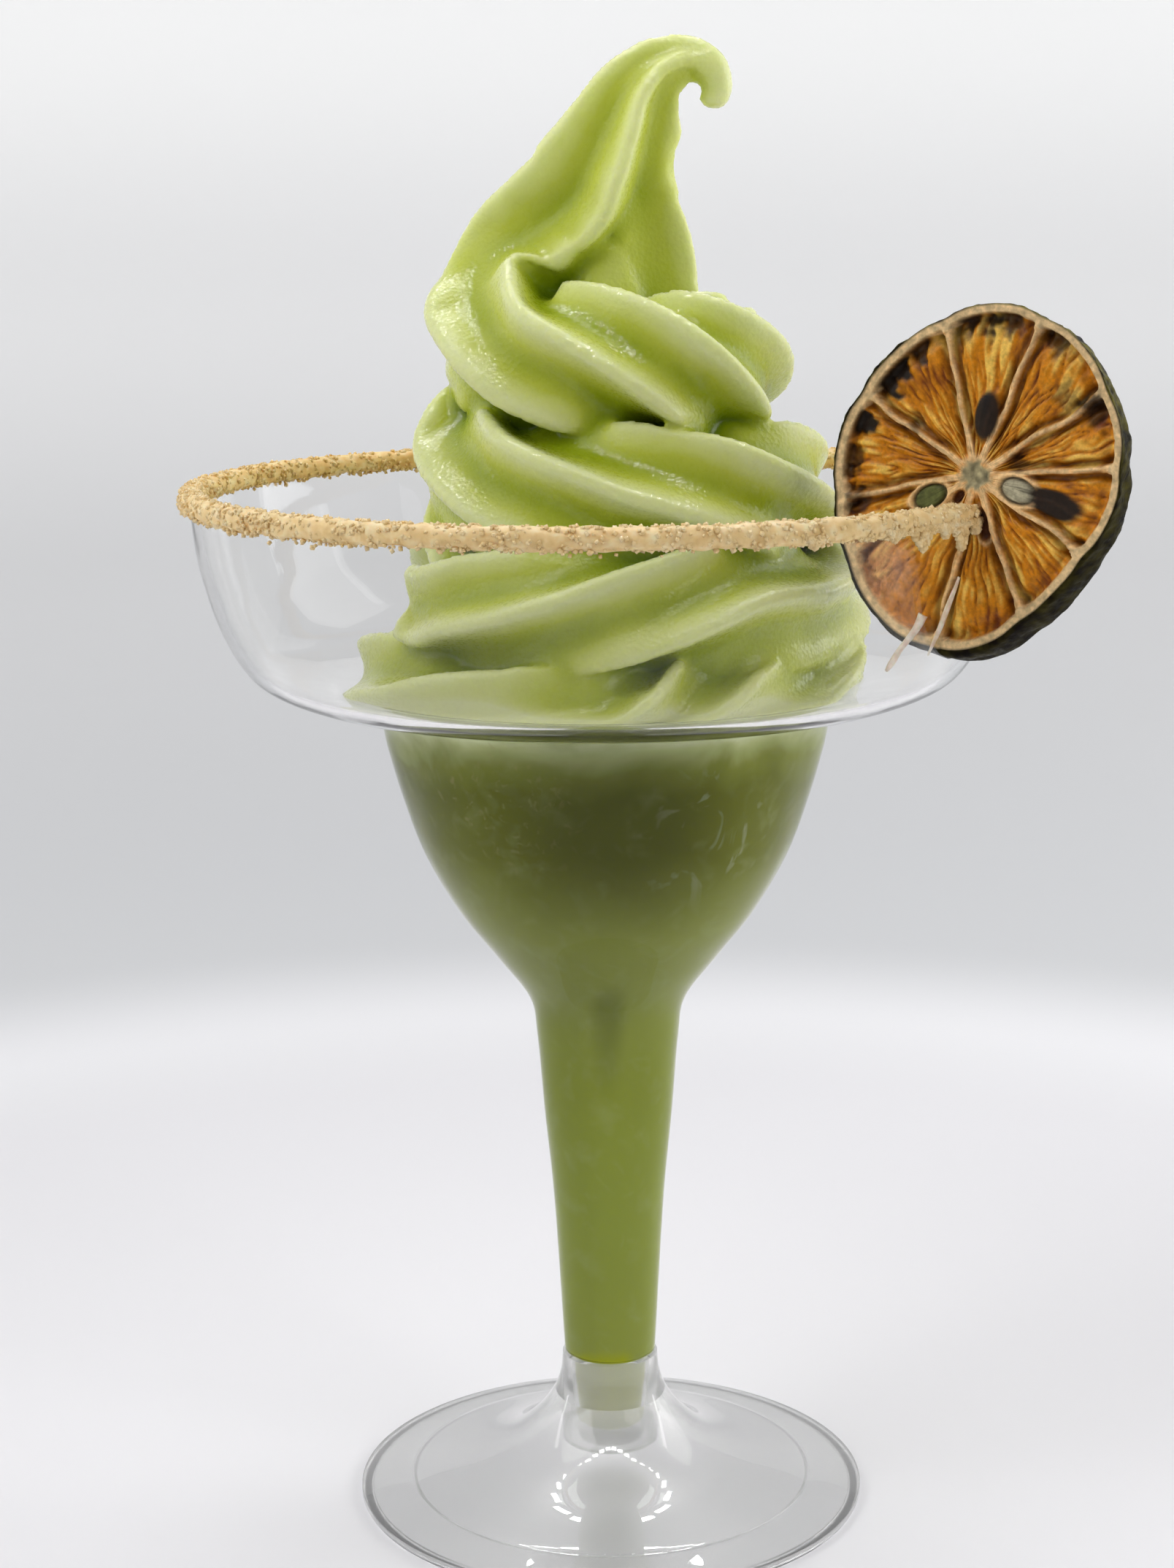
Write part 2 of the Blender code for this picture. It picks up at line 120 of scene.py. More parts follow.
def smooth_line(rows, steps):
    """A smooth line through rows of numbers, with steps samples to each stretch."""
    rows = np.asarray(rows, float)
    ends = np.vstack([2 * rows[0] - rows[1], rows, 2 * rows[-1] - rows[-2]])
    line = []
    for before, start, end, after in zip(ends, ends[1:], ends[2:], ends[3:]):
        for t in np.arange(steps) / steps:
            bend = 2 * before - 5 * start + 4 * end - after
            twist = 3 * start - before - 3 * end + after
            line.append(start + 0.5 * ((end - before) * t + bend * t**2 + twist * t**3))
    line.append(rows[-1])
    return np.array(line)


def turned(name, profile, sides, closed=True):
    """A (radius, height) outline spun about the axis of the glass."""
    bpy.ops.object.select_all(action="DESELECT")
    bpy.ops.curve.primitive_bezier_curve_add()
    outline = bpy.context.object
    outline.name = name
    outline.data.splines.clear()
    path = outline.data.splines.new("POLY")
    path.points.add(len(profile) - 1)
    for point, (radius, height) in zip(path.points, profile):
        point.co = (radius * MM, 0, height * MM, 1)
    path.use_cyclic_u = closed
    bpy.ops.object.convert(target="MESH")
    bpy.ops.object.mode_set(mode="EDIT")
    bpy.ops.mesh.select_all(action="SELECT")
    bpy.ops.mesh.spin(steps=sides, angle=math.tau, center=(0, 0, 0), axis=(0, 0, 1))
    bpy.ops.mesh.select_all(action="SELECT")
    bpy.ops.mesh.remove_doubles(threshold=1e-6)
    bpy.ops.mesh.normals_make_consistent(inside=False)
    bpy.ops.object.mode_set(mode="OBJECT")
    bpy.ops.object.shade_smooth_by_angle(angle=math.radians(35))
    return bpy.context.object


def surface(name, values):
    """A Principled material with these values on the shader's own sockets."""
    made = bpy.data.materials.new(name)
    made.use_nodes = True
    shader = made.node_tree.nodes["Principled BSDF"]
    for socket, value in values.items():
        shader.inputs[socket].default_value = value
    return made, made.node_tree, shader


def ramp(tree, factor, stops):
    """Colours blended along a factor."""
    made = add(tree, "ValToRGB", {"Fac": factor})
    while len(made.color_ramp.elements) < len(stops):
        made.color_ramp.elements.new(0.5)
    for element, (place, colour) in zip(made.color_ramp.elements, stops):
        element.position = place
        element.color = (*colour, 1)
    return made.outputs["Color"]


def object_place(tree):
    return add(tree, "TexCoord", {}).outputs["Object"]


wall_bend = [(700, 0), (800, 12), (868, 50), (895, 120), (900, 200)]
sheet = turned("floor_sheet", [(0, 0)] + list(smooth_line(wall_bend, 6)) + [(900, 420)], 128, False)
paper, tree, shader = surface("pale_paper", {"Roughness": 0.7, "Specular IOR Level": 0.2})
place = object_place(tree)
apart = add(tree, "SeparateXYZ", {"Vector": place})
level = add(tree, "CombineXYZ", {"X": apart.outputs["X"], "Y": apart.outputs["Y"]})
reach = add(tree, "VectorMath", {0: level.outputs["Vector"]}, operation="LENGTH")
rise = add(tree, "Math", {0: apart.outputs["Z"], 1: 2.2}, operation="MULTIPLY")
along = add(tree, "Math", {0: reach.outputs["Value"], 1: rise.outputs["Value"]}, operation="ADD")
stretch = add(tree, "Math", {0: along.outputs["Value"], 1: 0.62}, operation="MULTIPLY").outputs["Value"]
# Painted light and shade: light near the glass, greyer at the foot of the wall and lighter up the wall.
shade = [
    (0.12, (0.765, 0.755, 0.78)),
    (0.15, (0.775, 0.77, 0.79)),
    (0.2, (0.5, 0.505, 0.515)),
    (0.56, (0.53, 0.53, 0.54)),
    (0.75, (0.61, 0.61, 0.615)),
    (0.92, (0.69, 0.69, 0.69)),
]
# Painted light: the sheet emits more light the further out and the higher it is.
painted_backdrop_light = [
    (0.12, (0.0, 0.0, 0.0)),
    (0.2, (0.115, 0.116, 0.122)),
    (0.56, (0.21, 0.212, 0.214)),
    (0.75, (0.295, 0.295, 0.297)),
    (0.92, (0.385, 0.385, 0.385)),
]
# Painted shade: the sheet's colour and emission drop to a fifth on the side behind the camera.
painted_shade_behind_camera = add(tree, "MapRange", {"Value": apart.outputs["Y"], "From Min": -0.6, "From Max": -0.3, "To Min": 0.2})
for colours, socket in ((shade, "Base Color"), (painted_backdrop_light, "Emission Color")):
    blended = ramp(tree, stretch, colours)
    blended.node.color_ramp.interpolation = "EASE"
    lit = add(tree, "VectorMath", {0: blended, 3: painted_shade_behind_camera.outputs["Result"]}, operation="SCALE")
    tree.links.new(lit.outputs["Vector"], shader.inputs[socket])
shader.inputs["Emission Strength"].default_value = 1.0
sheet.data.materials.append(paper)


# Foot. A thin flared disc of clear moulded plastic that stands on its rim, with a socket tube in its middle
# that takes the plug of the stem.
FLARE = ((6.9, 20.9), (7.3, 17.5), (8.6, 14.3), (11.2, 10.9), (15.2, 7.6), (21.0, 5.0), (28.5, 3.0))
FLANGE = ((29.8, 2.55), (34.6, 1.75), (36.7, 1.3))
FOOT_WALL = 1.2
SOCKET_RADIUS = 5.75
GLASS_STEPS = 6
GLASS_SIDES = 192


def moved_sideways(line, distance):
    """The outline moved to its left, going along it with radius to the right and height up."""
    way = np.gradient(line, axis=0)
    way /= np.linalg.norm(way, axis=1)[:, None]
    return line + distance * np.column_stack([-way[:, 1], way[:, 0]])


def clear_plastic(name, tint, clarity, waviness, gloss, haze):
    """Clear plastic with the faint waves of its mould, through which lamps shine."""
    made, tree, shader = surface(
        name,
        {
            "Base Color": (*tint, 1),
            "Roughness": 0.0,
            "IOR": 1.26,
            "Transmission Weight": clarity,
            "Coat Weight": gloss,
            "Coat Roughness": 0.016,
            "Sheen Weight": haze,
            "Sheen Roughness": 0.3,
        },
    )
    place = object_place(tree)
    waves = add(tree, "TexNoise", {"Vector": place, "Scale": 70.0, "Detail": 2.0})
    bump = add(tree, "Bump", {"Height": waves.outputs["Fac"], "Strength": waviness, "Distance": 0.0006})
    tree.links.new(bump.outputs["Normal"], shader.inputs["Normal"])
    lamp_ray = add(tree, "LightPath", {})
    through = add(tree, "BsdfTransparent", {"Color": (0.96, 0.965, 0.965, 1)})
    joined = add(
        tree,
        "MixShader",
        {0: lamp_ray.outputs["Is Shadow Ray"], 1: shader.outputs["BSDF"], 2: through.outputs["BSDF"]},
    )
    output = tree.nodes["Material Output"]
    tree.links.new(joined.outputs["Shader"], output.inputs["Surface"])
    return made


foot_out = smooth_line(FLARE + FLANGE, GLASS_STEPS)
foot_in = moved_sideways(foot_out, -FOOT_WALL)
tube_radius = SOCKET_RADIUS + FOOT_WALL
foot_in = foot_in[(foot_in[:, 0] > tube_radius + 0.2) & (foot_in[:, 0] < 34.9)]
foot_rim = [(34.9, 0.1), (35.1, 0.0), (36.1, 0.0), (36.5, 0.15), (36.7, 0.5)]
socket = [(6.7, 21.0), (6.0, 21.0), (SOCKET_RADIUS, 20.8), (SOCKET_RADIUS, 7.6), (5.95, 7.4), (tube_radius, 7.4)]
foot = turned("foot", foot_rim + list(foot_out[::-1]) + socket + list(foot_in), GLASS_SIDES)
milky = clear_plastic("foot_plastic", (0.66, 0.66, 0.655), 0.84, 0.12, 0.8, 0.08)
tree = milky.node_tree
shader = tree.nodes["Principled BSDF"]
height = add(tree, "SeparateXYZ", {"Vector": object_place(tree)}).outputs["Z"]
up = add(tree, "MapRange", {"Value": height, "From Max": 0.021}).outputs["Result"]
clearer = [(0.2, (0.66, 0.66, 0.655)), (0.45, (0.75, 0.75, 0.745)), (0.7, (0.93, 0.93, 0.92)), (1.0, (0.96, 0.96, 0.95))]
tree.links.new(ramp(tree, up, clearer), shader.inputs["Base Color"])
blur = ramp(tree, up, [(0.3, (0.26, 0.26, 0.26)), (0.75, (0.06, 0.06, 0.06))])
tree.links.new(blur, shader.inputs["Roughness"])
foot.data.materials.append(milky)
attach(foot, "root")
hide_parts("glass_foot")


# Glass. Dish, lower bowl and hollow stem in one moulding of clear plastic. The stem ends in a closed plug
# that is pushed into the foot.
WALL = 1.3
STEM = ((6.6, 21.4), (7.9, 44.0), (9.15, 57.4), (10.1, 69.0))
BULB = ((11.2, 74.9), (15.9, 81.3), (20.9, 87.8), (25.7, 96.3), (28.7, 104.7), (30.6, 111.5))
NECK = ((31.5, 115.2), (33.6, 117.6), (38.0, 118.5))
DISH = ((44.0, 119.7), (49.2, 122.4), (52.9, 128.2), (55.1, 134.6), (56.4, 140.8), (57.0, 147.0))
LIP_RADIUS, LIP_HEIGHT = DISH[-1]
BORE_BOTTOM = 10.0

bowl_out = smooth_line(STEM + BULB + NECK + DISH, GLASS_STEPS)
bowl_in = moved_sideways(bowl_out, WALL)
plug = [(0, 7.6), (4.0, 7.6), (4.5, 7.75), (4.8, 8.3), (5.35, 20.6), (5.5, 21.2)]
lip = [(56.85, 147.25), (56.5, 147.4), (56.2, 147.4), (55.85, 147.25)]
bore = [(3.6, 11.2), (3.3, 10.5), (2.6, BORE_BOTTOM), (0, BORE_BOTTOM)]
glass = turned("glass", plug + list(bowl_out) + lip + list(bowl_in[::-1]) + bore, GLASS_SIDES)
glass.data.materials.append(clear_plastic("bowl_plastic", (0.97, 0.97, 0.965), 1.0, 0.1, 0.0, 0.0))
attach(glass, "root")
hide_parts("glass_bowl")


# Drink in the lower bowl and stem. Frozen lime drink, packed against the plastic without air. It is darker
# in the bowl and thins to a pale green in the plug. Painted shade darkens a band high in the bowl, a spot at
# its front and a stripe at the top of the stem. Painted light makes the very top paler, and pale painted
# reflections lie at the front of the bowl.
WETTING = 0.15
SWIRL_BASE = 118.4

drink_edge = moved_sideways(bowl_out, WALL - WETTING)
drink_edge = drink_edge[drink_edge[:, 1] < SWIRL_BASE - 0.6]
drink_end = [(0, 9.9), (2.6, 9.9), (3.4, 10.4), (3.75, 11.3)]
drink_top = [(drink_edge[-1][0] + 0.5, SWIRL_BASE), (0, SWIRL_BASE)]
fill = turned("drink", drink_end + list(drink_edge) + drink_top, 128, False)
drink, tree, shader = surface(
    "packed_drink",
    {
        "Roughness": 0.6,
        "Specular IOR Level": 0.05,
        "Subsurface Weight": 0.0,
        "Sheen Weight": 0.3,
        "Sheen Tint": (0.8, 0.9, 0.5, 1),
    },
)
place = object_place(tree)
height = add(tree, "SeparateXYZ", {"Vector": place}).outputs["Z"]
clouds = add(tree, "TexNoise", {"Vector": place, "Scale": 55.0, "Detail": 4.0, "Distortion": 0.6})
shift = add(tree, "MapRange", {"Value": clouds.outputs["Fac"], "To Min": -0.006, "To Max": 0.006})
level = add(tree, "Math", {0: height, 1: shift.outputs["Result"]}, operation="ADD")
share = add(tree, "MapRange", {"Value": level.outputs["Value"], "From Min": 0.01, "From Max": 0.118})
# Painted shade: the dark band from 0.84 to 0.92, high in the bowl. Painted light: the pale band at the very top.
layers_with_painted_light_and_shade = [
    (0.0, (0.36, 0.37, 0.004)),
    (0.085, (0.33, 0.355, 0.008)),
    (0.1, (0.26, 0.3, 0.045)),
    (0.3, (0.245, 0.29, 0.04)),
    (0.5, (0.235, 0.275, 0.03)),
    (0.62, (0.26, 0.295, 0.06)),
    (0.72, (0.25, 0.28, 0.05)),
    (0.84, (0.145, 0.16, 0.004)),
    (0.92, (0.135, 0.15, 0.002)),
    (0.955, (0.22, 0.245, 0.03)),
    (0.985, (0.52, 0.57, 0.24)),
    (1.0, (0.7, 0.75, 0.42)),
]


def near_spot(tree, place, spot, stretch, inner, outer, weak, strong):
    """A soft spot: strong nearer than inner to the spot, and weak beyond outer. Distances are in metres."""
    apart = add(tree, "VectorMath", {0: place, 1: spot}, operation="SUBTRACT")
    drawn = add(tree, "VectorMath", {0: apart.outputs["Vector"], 1: stretch}, operation="MULTIPLY")
    away = add(tree, "VectorMath", {0: drawn.outputs["Vector"]}, operation="LENGTH")
    soft = {"Value": away.outputs["Value"], "From Min": inner, "From Max": outer, "To Min": strong, "To Max": weak}
    return add(tree, "MapRange", soft, interpolation_type="SMOOTHSTEP").outputs["Result"]


def times(tree, first, second):
    return add(tree, "Math", {0: first, 1: second}, operation="MULTIPLY").outputs["Value"]


def marks(tree, place, scale, distortion, low, high):
    """Pale marks where a noise is high."""
    noisy = add(tree, "TexNoise", {"Vector": place, "Scale": scale, "Detail": 4.0, "Distortion": distortion})
    strong = {"Value": noisy.outputs["Fac"], "From Min": low, "From Max": high}
    return add(tree, "MapRange", strong).outputs["Result"]


colour = ramp(tree, share.outputs["Result"], layers_with_painted_light_and_shade)
dusty = marks(tree, place, 260.0, 0.3, 0.55, 0.75)
specks = times(tree, marks(tree, place, 700.0, 0.6, 0.58, 0.68), near_spot(tree, place, (-0.02, -0.022, 0.11), (1, 1, 1), 0.006, 0.018, 0.05, 1.0))
# Painted reflection: pale marks on the drink at the front of the bowl.
painted_reflection_marks = times(tree, marks(tree, place, 95.0, 3.5, 0.58, 0.66), near_spot(tree, place, (0.0091, -0.0272, 0.103), (1, 1, 1), 0.004, 0.013, 0.1, 1.0))
for mask, amount, pale in (
    (dusty, 0.3, (0.32, 0.36, 0.13, 1)),
    (specks, 0.3, (0.4, 0.36, 0.14, 1)),
    (painted_reflection_marks, 0.4, (0.5, 0.54, 0.36, 1)),
):
    mixed = add(tree, "Mix", {"Factor": times(tree, mask, amount), "A": colour, "B": pale}, data_type="RGBA")
    colour = mixed.outputs["Result"]
# Painted shade: a dark spot at the front of the bowl and a dim upright stripe at the top of the stem.
painted_shade_spot = near_spot(tree, place, (-0.004, -0.028, 0.105), (1, 1, 1), 0.004, 0.024, 1.0, 0.45)
painted_shade_stripe = near_spot(tree, place, (-0.002, -0.0095, 0.076), (1.6, 1, 0.3), 0.001, 0.0052, 1.0, 0.72)
toned = add(tree, "VectorMath", {0: colour, 3: times(tree, painted_shade_spot, painted_shade_stripe)}, operation="SCALE")
tree.links.new(toned.outputs["Vector"], shader.inputs["Base Color"])
fill.data.materials.append(drink)
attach(fill, "root")
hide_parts("drink_fill")


# Swirl. Frozen drink from a machine with a level star nozzle: two spread turns the one way, two turns the
# other way and a drawn peak with a hook. It is moist, with fine ice in it.
RIBS = 5
RIB_BEARING = math.radians(-80)
RIB_DEPTH = 0.34
CREST_ROUNDNESS = 0.16
STRAND_SIDES = 96
MERGE_GRAIN = 0.55
SWIRL_HEART = ((0, 117), (31, 117), (24, 128), (20, 135), (14, 151), (12, 158), (8, 166), (5, 180), (0, 186))


def around(bearing, distance, height, thickness, shift=0.0, twist=0.0):
    """A station of a strand: its bearing in degrees and distance from an axis shifted along X."""
    angle = math.radians(bearing)
    return (shift + distance * math.cos(angle), distance * math.sin(angle), height, thickness, RIB_DEPTH, twist)


lower_coil = [
    around(205, 12.0, 133.0, 9.0, 1),
    around(180, 16.0, 137.0, 9.6, 1),
    around(150, 18.0, 141.5, 9.8, 1),
    around(90, 18.0, 144.0, 9.8, 1),
    around(45, 19.5, 145.2, 10.2, 2, -16),
    around(0, 20.6, 146.0, 10.6, 2, -16),
    around(-45, 19.4, 146.8, 10.4, 2, -5),
    around(-90, 17.2, 147.4, 10.3, 1),
    around(-135, 16.8, 148.6, 10.2, 0.5),
]
upper_coil = [
    around(-180, 16.4, 150.6, 10.2),
    around(-210, 14.8, 156.0, 9.9),
    around(-240, 13.0, 160.0, 9.8),
    around(-270, 12.0, 162.6, 9.8, 0.5),
    around(-315, 13.0, 163.2, 10.3, 0.8),
    around(-360, 14.2, 162.8, 10.8, 0.8, 14),
    around(-405, 13.8, 163.2, 10.8, 0.8, 38),
    around(-450, 12.2, 164.4, 10.6, 0.6, 64),
    around(-495, 13.0, 165.6, 10.8, 0, 76),
    around(-530, 13.2, 168.2, 11.6, 0, 72),
]
peak = [
    (-11.8, 2.6, 171.8, 11.8, RIB_DEPTH, 57),
    (-8.6, 4.8, 176.4, 12.0, RIB_DEPTH, 60),
    (-4.4, 4.6, 181.4, 12.0, 0.38, 65),
    (-1.0, 3.4, 186.4, 11.6, 0.42, 69),
    (1.2, 2.0, 191.2, 10.4, 0.42, 69),
    (3.1, 0.9, 195.8, 8.3, 0.4, 69),
    (5.0, 0.3, 200.0, 6.3, 0.36, 67),
]
hook = [
    (7.8, 0.0, 203.1, 4.4, 0.28, 64),
    (11.4, 0.0, 204.4, 3.1, 0.15, 64),
    (14.2, 0.0, 203.4, 2.4, 0.03, 64),
    (15.3, 0.0, 201.2, 1.8, 0.0, 64),
    (15.1, 0.0, 199.4, 1.4, 0.0, 64),
]
column = [
    (3.2, 4.6, 162.0, 8.4, 0.24, -22),
    (3.8, 5.0, 169.0, 10.2, 0.24, -22),
    (3.8, 5.0, 176.0, 10.0, 0.24, -22),
    (3.6, 4.6, 182.0, 9.1, 0.24, -22),
    (3.5, 3.6, 188.0, 7.2, 0.24, -22),
    (3.2, 2.8, 192.0, 5.6, 0.24, -22),
]
middle_turn = [
    around(203, 24.0, 131.5, 7.8, 0, 28),
    around(225, 23.5, 132.0, 8.8, 0, 28),
    around(250, 23.5, 132.4, 9.4, 0, 28),
    around(275, 24.0, 132.8, 9.6, 0, 22),
    around(305, 25.5, 132.8, 9.8, 0, 8),
    around(335, 26.5, 131.6, 9.6, 0, 26),
    around(365, 28.0, 131.0, 9.4, 0, 30),
    around(400, 27.0, 132.0, 9.4, 0, 30),
    around(440, 25.0, 133.0, 9.4, 0, 30),
    around(480, 23.0, 134.0, 9.4, 0, 30),
    around(515, 20.0, 135.5, 9.2, 0, 30),
    around(540, 16.0, 137.0, 8.5, 0, 30),
]
floor_turn = [
    around(150, 26.0, 120.5, 8.5, 0, -14),
    around(185, 28.0, 119.0, 9.5, 0, -14),
    around(215, 27.5, 118.4, 9.8, 0, -14),
    around(245, 26.0, 118.4, 9.8, 0, -13),
    around(268, 25.4, 118.8, 9.8, 0, -8),
    around(280, 25.2, 119.0, 9.8, 0, -26),
    around(292, 25.4, 119.0, 9.8, 0, -62),
    around(308, 25.8, 119.2, 9.8, 0, -84),
    around(335, 27.0, 119.8, 9.6, 0, -104),
    around(365, 28.5, 120.6, 9.5, 0, -112),
    around(400, 28.5, 121.4, 9.5, 0, -112),
    around(440, 27.0, 122.4, 9.2, 0, -112),
    around(480, 25.0, 123.4, 9.2, 0, -112),
    around(510, 22.0, 126.0, 9.0, 0, -112),
]


def mesh_piece(name, vertices, faces):
    """A mesh from points in millimetres."""
    mesh = bpy.data.meshes.new(name)
    mesh.from_pydata((np.asarray(vertices) * MM).tolist(), [], faces)
    mesh.update()
    thing = bpy.data.objects.new(name, mesh)
    bpy.context.scene.collection.objects.link(thing)
    return thing


def tube_faces(rings, closed=False):
    """Quads between rings of equally many points."""
    rings = np.asarray(rings)
    after = np.roll(rings, -1, axis=1)
    above, above_after = np.roll(rings, -1, axis=0), np.roll(after, -1, axis=0)
    quads = np.stack([rings, after, above_after, above], axis=2)
    if not closed:
        quads = quads[:-1]
    return quads.reshape(-1, 4).tolist()


def nozzle_axes(direction):
    """The level nozzle's two axes, tipped the short way from upright to the strand's direction."""
    x, y, z = direction
    turn = 1.0 / (1.0 + z)
    return np.array((1 - x * x * turn, -x * y * turn, -x)), np.array((-x * y * turn, 1 - y * y * turn, -y))


def star(angles, depth):
    """The nozzle's outline: rounded crests with wide hollows between them."""
    wave = np.abs(np.sin(RIBS / 2 * (angles - RIB_BEARING)))
    hollow = np.hypot(wave, CREST_ROUNDNESS) - CREST_ROUNDNESS
    return 1 - depth * hollow / (math.hypot(1, CREST_ROUNDNESS) - CREST_ROUNDNESS)


def strand(name, stations, bluntness=0.5):
    """A star section swept along its stations, with rounded ends."""
    route = smooth_line(stations, 12)
    centres, thickness, depths, twists = route[:, :3], route[:, 3], route[:, 4], np.radians(route[:, 5])
    directions = np.gradient(centres, axis=0)
    directions /= np.linalg.norm(directions, axis=1)[:, None]
    angles = np.linspace(0, math.tau, STRAND_SIDES, endpoint=False)

    def ring(index, ahead, size):
        across, over = nozzle_axes(directions[index])
        radius = thickness[index] * size * star(angles - twists[index], depths[index])
        middle = centres[index] + directions[index] * ahead * thickness[index] * bluntness
        return middle + np.outer(radius * np.cos(angles), across) + np.outer(radius * np.sin(angles), over)

    closing = [math.radians(18 * step) for step in range(1, 5)]
    rings = [ring(0, -math.sin(turn), math.cos(turn)) for turn in closing[::-1]]
    rings += [ring(index, 0, 1) for index in range(len(route))]
    rings += [ring(-1, math.sin(turn), math.cos(turn)) for turn in closing]
    numbers = np.arange(len(rings) * STRAND_SIDES).reshape(len(rings), STRAND_SIDES)
    faces = tube_faces(numbers)
    faces.append(numbers[0][::-1].tolist())
    faces.append(numbers[-1].tolist())
    return mesh_piece(name, np.vstack(rings), faces)


def with_modifier(thing, kind, **settings):
    """Adds a modifier and applies it."""
    bpy.context.view_layer.objects.active = thing
    step = thing.modifiers.new("step", kind)
    for key, value in settings.items():
        setattr(step, key, value)
    bpy.ops.object.modifier_apply(modifier=step.name)


swirl = strand("swirl_pile", lower_coil + upper_coil + peak + hook)
parts = [
    strand("column", column),
    strand("middle_turn", middle_turn, 0.35),
    strand("floor_turn", floor_turn),
    turned("heart", SWIRL_HEART, 64, False),
]
bpy.ops.object.select_all(action="DESELECT")
for part in [swirl] + parts:
    part.select_set(True)
bpy.context.view_layer.objects.active = swirl
bpy.ops.object.join()
with_modifier(swirl, "REMESH", mode="VOXEL", voxel_size=MERGE_GRAIN * MM)
with_modifier(swirl, "SMOOTH", iterations=4)
dish_edge = moved_sideways(bowl_out, WALL - WETTING)
dish_edge = dish_edge[dish_edge[:, 1] > SWIRL_BASE]
outer = [(0, SWIRL_BASE - 30), (LIP_RADIUS + 20, SWIRL_BASE - 30), (LIP_RADIUS + 20, LIP_HEIGHT)]
dish_space = turned("dish_space", outer + list(dish_edge[::-1]) + [(0, SWIRL_BASE - 0.3)], 192, False)
with_modifier(swirl, "BOOLEAN", object=dish_space, operation="DIFFERENCE", solver="EXACT")
bpy.data.objects.remove(dish_space, do_unlink=True)
swirl.data.transform(Matrix.Rotation(PHOTO_TURN, 4, "Z"))
swirl.data.shade_smooth()


def read_points(mesh, name):
    """A vector of every mesh point as an array."""
    values = np.empty(len(mesh.vertices) * 3)
    mesh.vertices.foreach_get(name, values)
    return values.reshape(-1, 3)


def relaxed(mesh, rounds):
    """The mesh's points after rounds of averaging each with its neighbours."""
    points = read_points(mesh, "co")
    edges = np.empty(len(mesh.edges) * 2, np.int32)
    mesh.edges.foreach_get("vertices", edges)
    start, end = edges.reshape(-1, 2).T
    count = len(points)
    links = np.maximum(np.bincount(edges, minlength=count), 1)
    smooth = points
    for _ in range(rounds):
        sums = [
            np.bincount(start, smooth[end, axis], count) + np.bincount(end, smooth[start, axis], count)
            for axis in range(3)
        ]
        smooth = np.column_stack(sums) / links[:, None]
    return smooth


def hollows(mesh, rounds):
    """How far each point lies below the smoothed surface, in millimetres. Crests are below 0."""
    drop = relaxed(mesh, rounds) - read_points(mesh, "co")
    return (drop * read_points(mesh, "normal")).sum(axis=1) / MM


def keep_value(mesh, name, values):
    mesh.attributes.new(name, "FLOAT", "POINT").data.foreach_set("value", values.astype(np.float32))


seams = (((-18.7, 4.2, 177.6), 5.0), ((-16.0, 2.0, 176.5), 4.0), ((10.6, -2.9, 190.1), 4.0), ((19.3, -3.0, 172.2), 3.5))
points = read_points(swirl.data, "co")
soft = relaxed(swirl.data, 60)
for spot, size in seams:
    share = np.exp(-((np.linalg.norm(points / MM - spot, axis=1) / size) ** 2))
    points += (soft - points) * share[:, None]
swirl.data.vertices.foreach_set("co", points.ravel())
swirl.data.update()
narrow = hollows(swirl.data, 14)
ways = read_points(swirl.data, "normal")
torn = np.array([noise.noise(Vector(point) * 900) + noise.noise(Vector(point) * 2000) for point in points])
crest = np.clip(-narrow * 4 - 0.2, 0, 1)
sharper = np.where(narrow < 0, np.clip(-narrow, 0, 0.5) * 1.3, np.clip(narrow, 0, 0.5) * 0.6)
sharper *= np.clip((points[:, 2] / MM - 120.5) / 2, 0, 1)
points += ways * (sharper * MM)[:, None]
swirl.data.vertices.foreach_set("co", points.ravel())
swirl.data.update()
in_peak = np.clip((points[:, 2] / MM - 166) / 16, 0, 1)
near_floor = np.clip((136 - points[:, 2] / MM) / 8, 0, 1)
# Hollow depth for the tint: painted shade in the hollows and painted light on the crests, weaker in the peak and near
# the floor.
keep_value(swirl.data, "hollow", hollows(swirl.data, 70) * (1 - 0.35 * in_peak - 0.4 * near_floor))
points += ways * (torn * (0.006 + 0.05 * crest) * MM)[:, None]
swirl.data.vertices.foreach_set("co", points.ravel())
swirl.data.update()

frozen, tree, shader = surface(
    "frozen_drink",
    {
        "Roughness": 0.35,
        "Subsurface Weight": 0.6,
        "Subsurface Radius": (1.0, 1.1, 0.25),
        "Subsurface Scale": 0.0022,
        "Specular IOR Level": 0.12,
        "Coat Weight": 0.5,
        "Coat Roughness": 0.05,
    },
)
place = object_place(tree)
hollow = add(tree, "Attribute", {}, attribute_name="hollow").outputs["Fac"]
clouds = add(tree, "TexNoise", {"Vector": place, "Scale": 90.0, "Detail": 3.0})
mottle = add(tree, "MapRange", {"Value": clouds.outputs["Fac"], "To Min": -0.35, "To Max": 0.35})
# Painted shade and light: the tint is pale on crests and dark green in hollows, with random mottling.
hollow_shade_and_mottle = add(tree, "Math", {0: hollow, 1: mottle.outputs["Result"]}, operation="ADD")
depth = add(tree, "MapRange", {"Value": hollow_shade_and_mottle.outputs["Value"], "From Min": -1.2, "From Max": 1.75})
tint = [
    (0.0, (0.74, 0.78, 0.38)),
    (0.27, (0.65, 0.7, 0.2)),
    (0.42, (0.53, 0.59, 0.07)),
    (0.62, (0.32, 0.4, 0.008)),
    (0.8, (0.16, 0.24, 0.003)),
    (1.0, (0.07, 0.12, 0.003)),
]
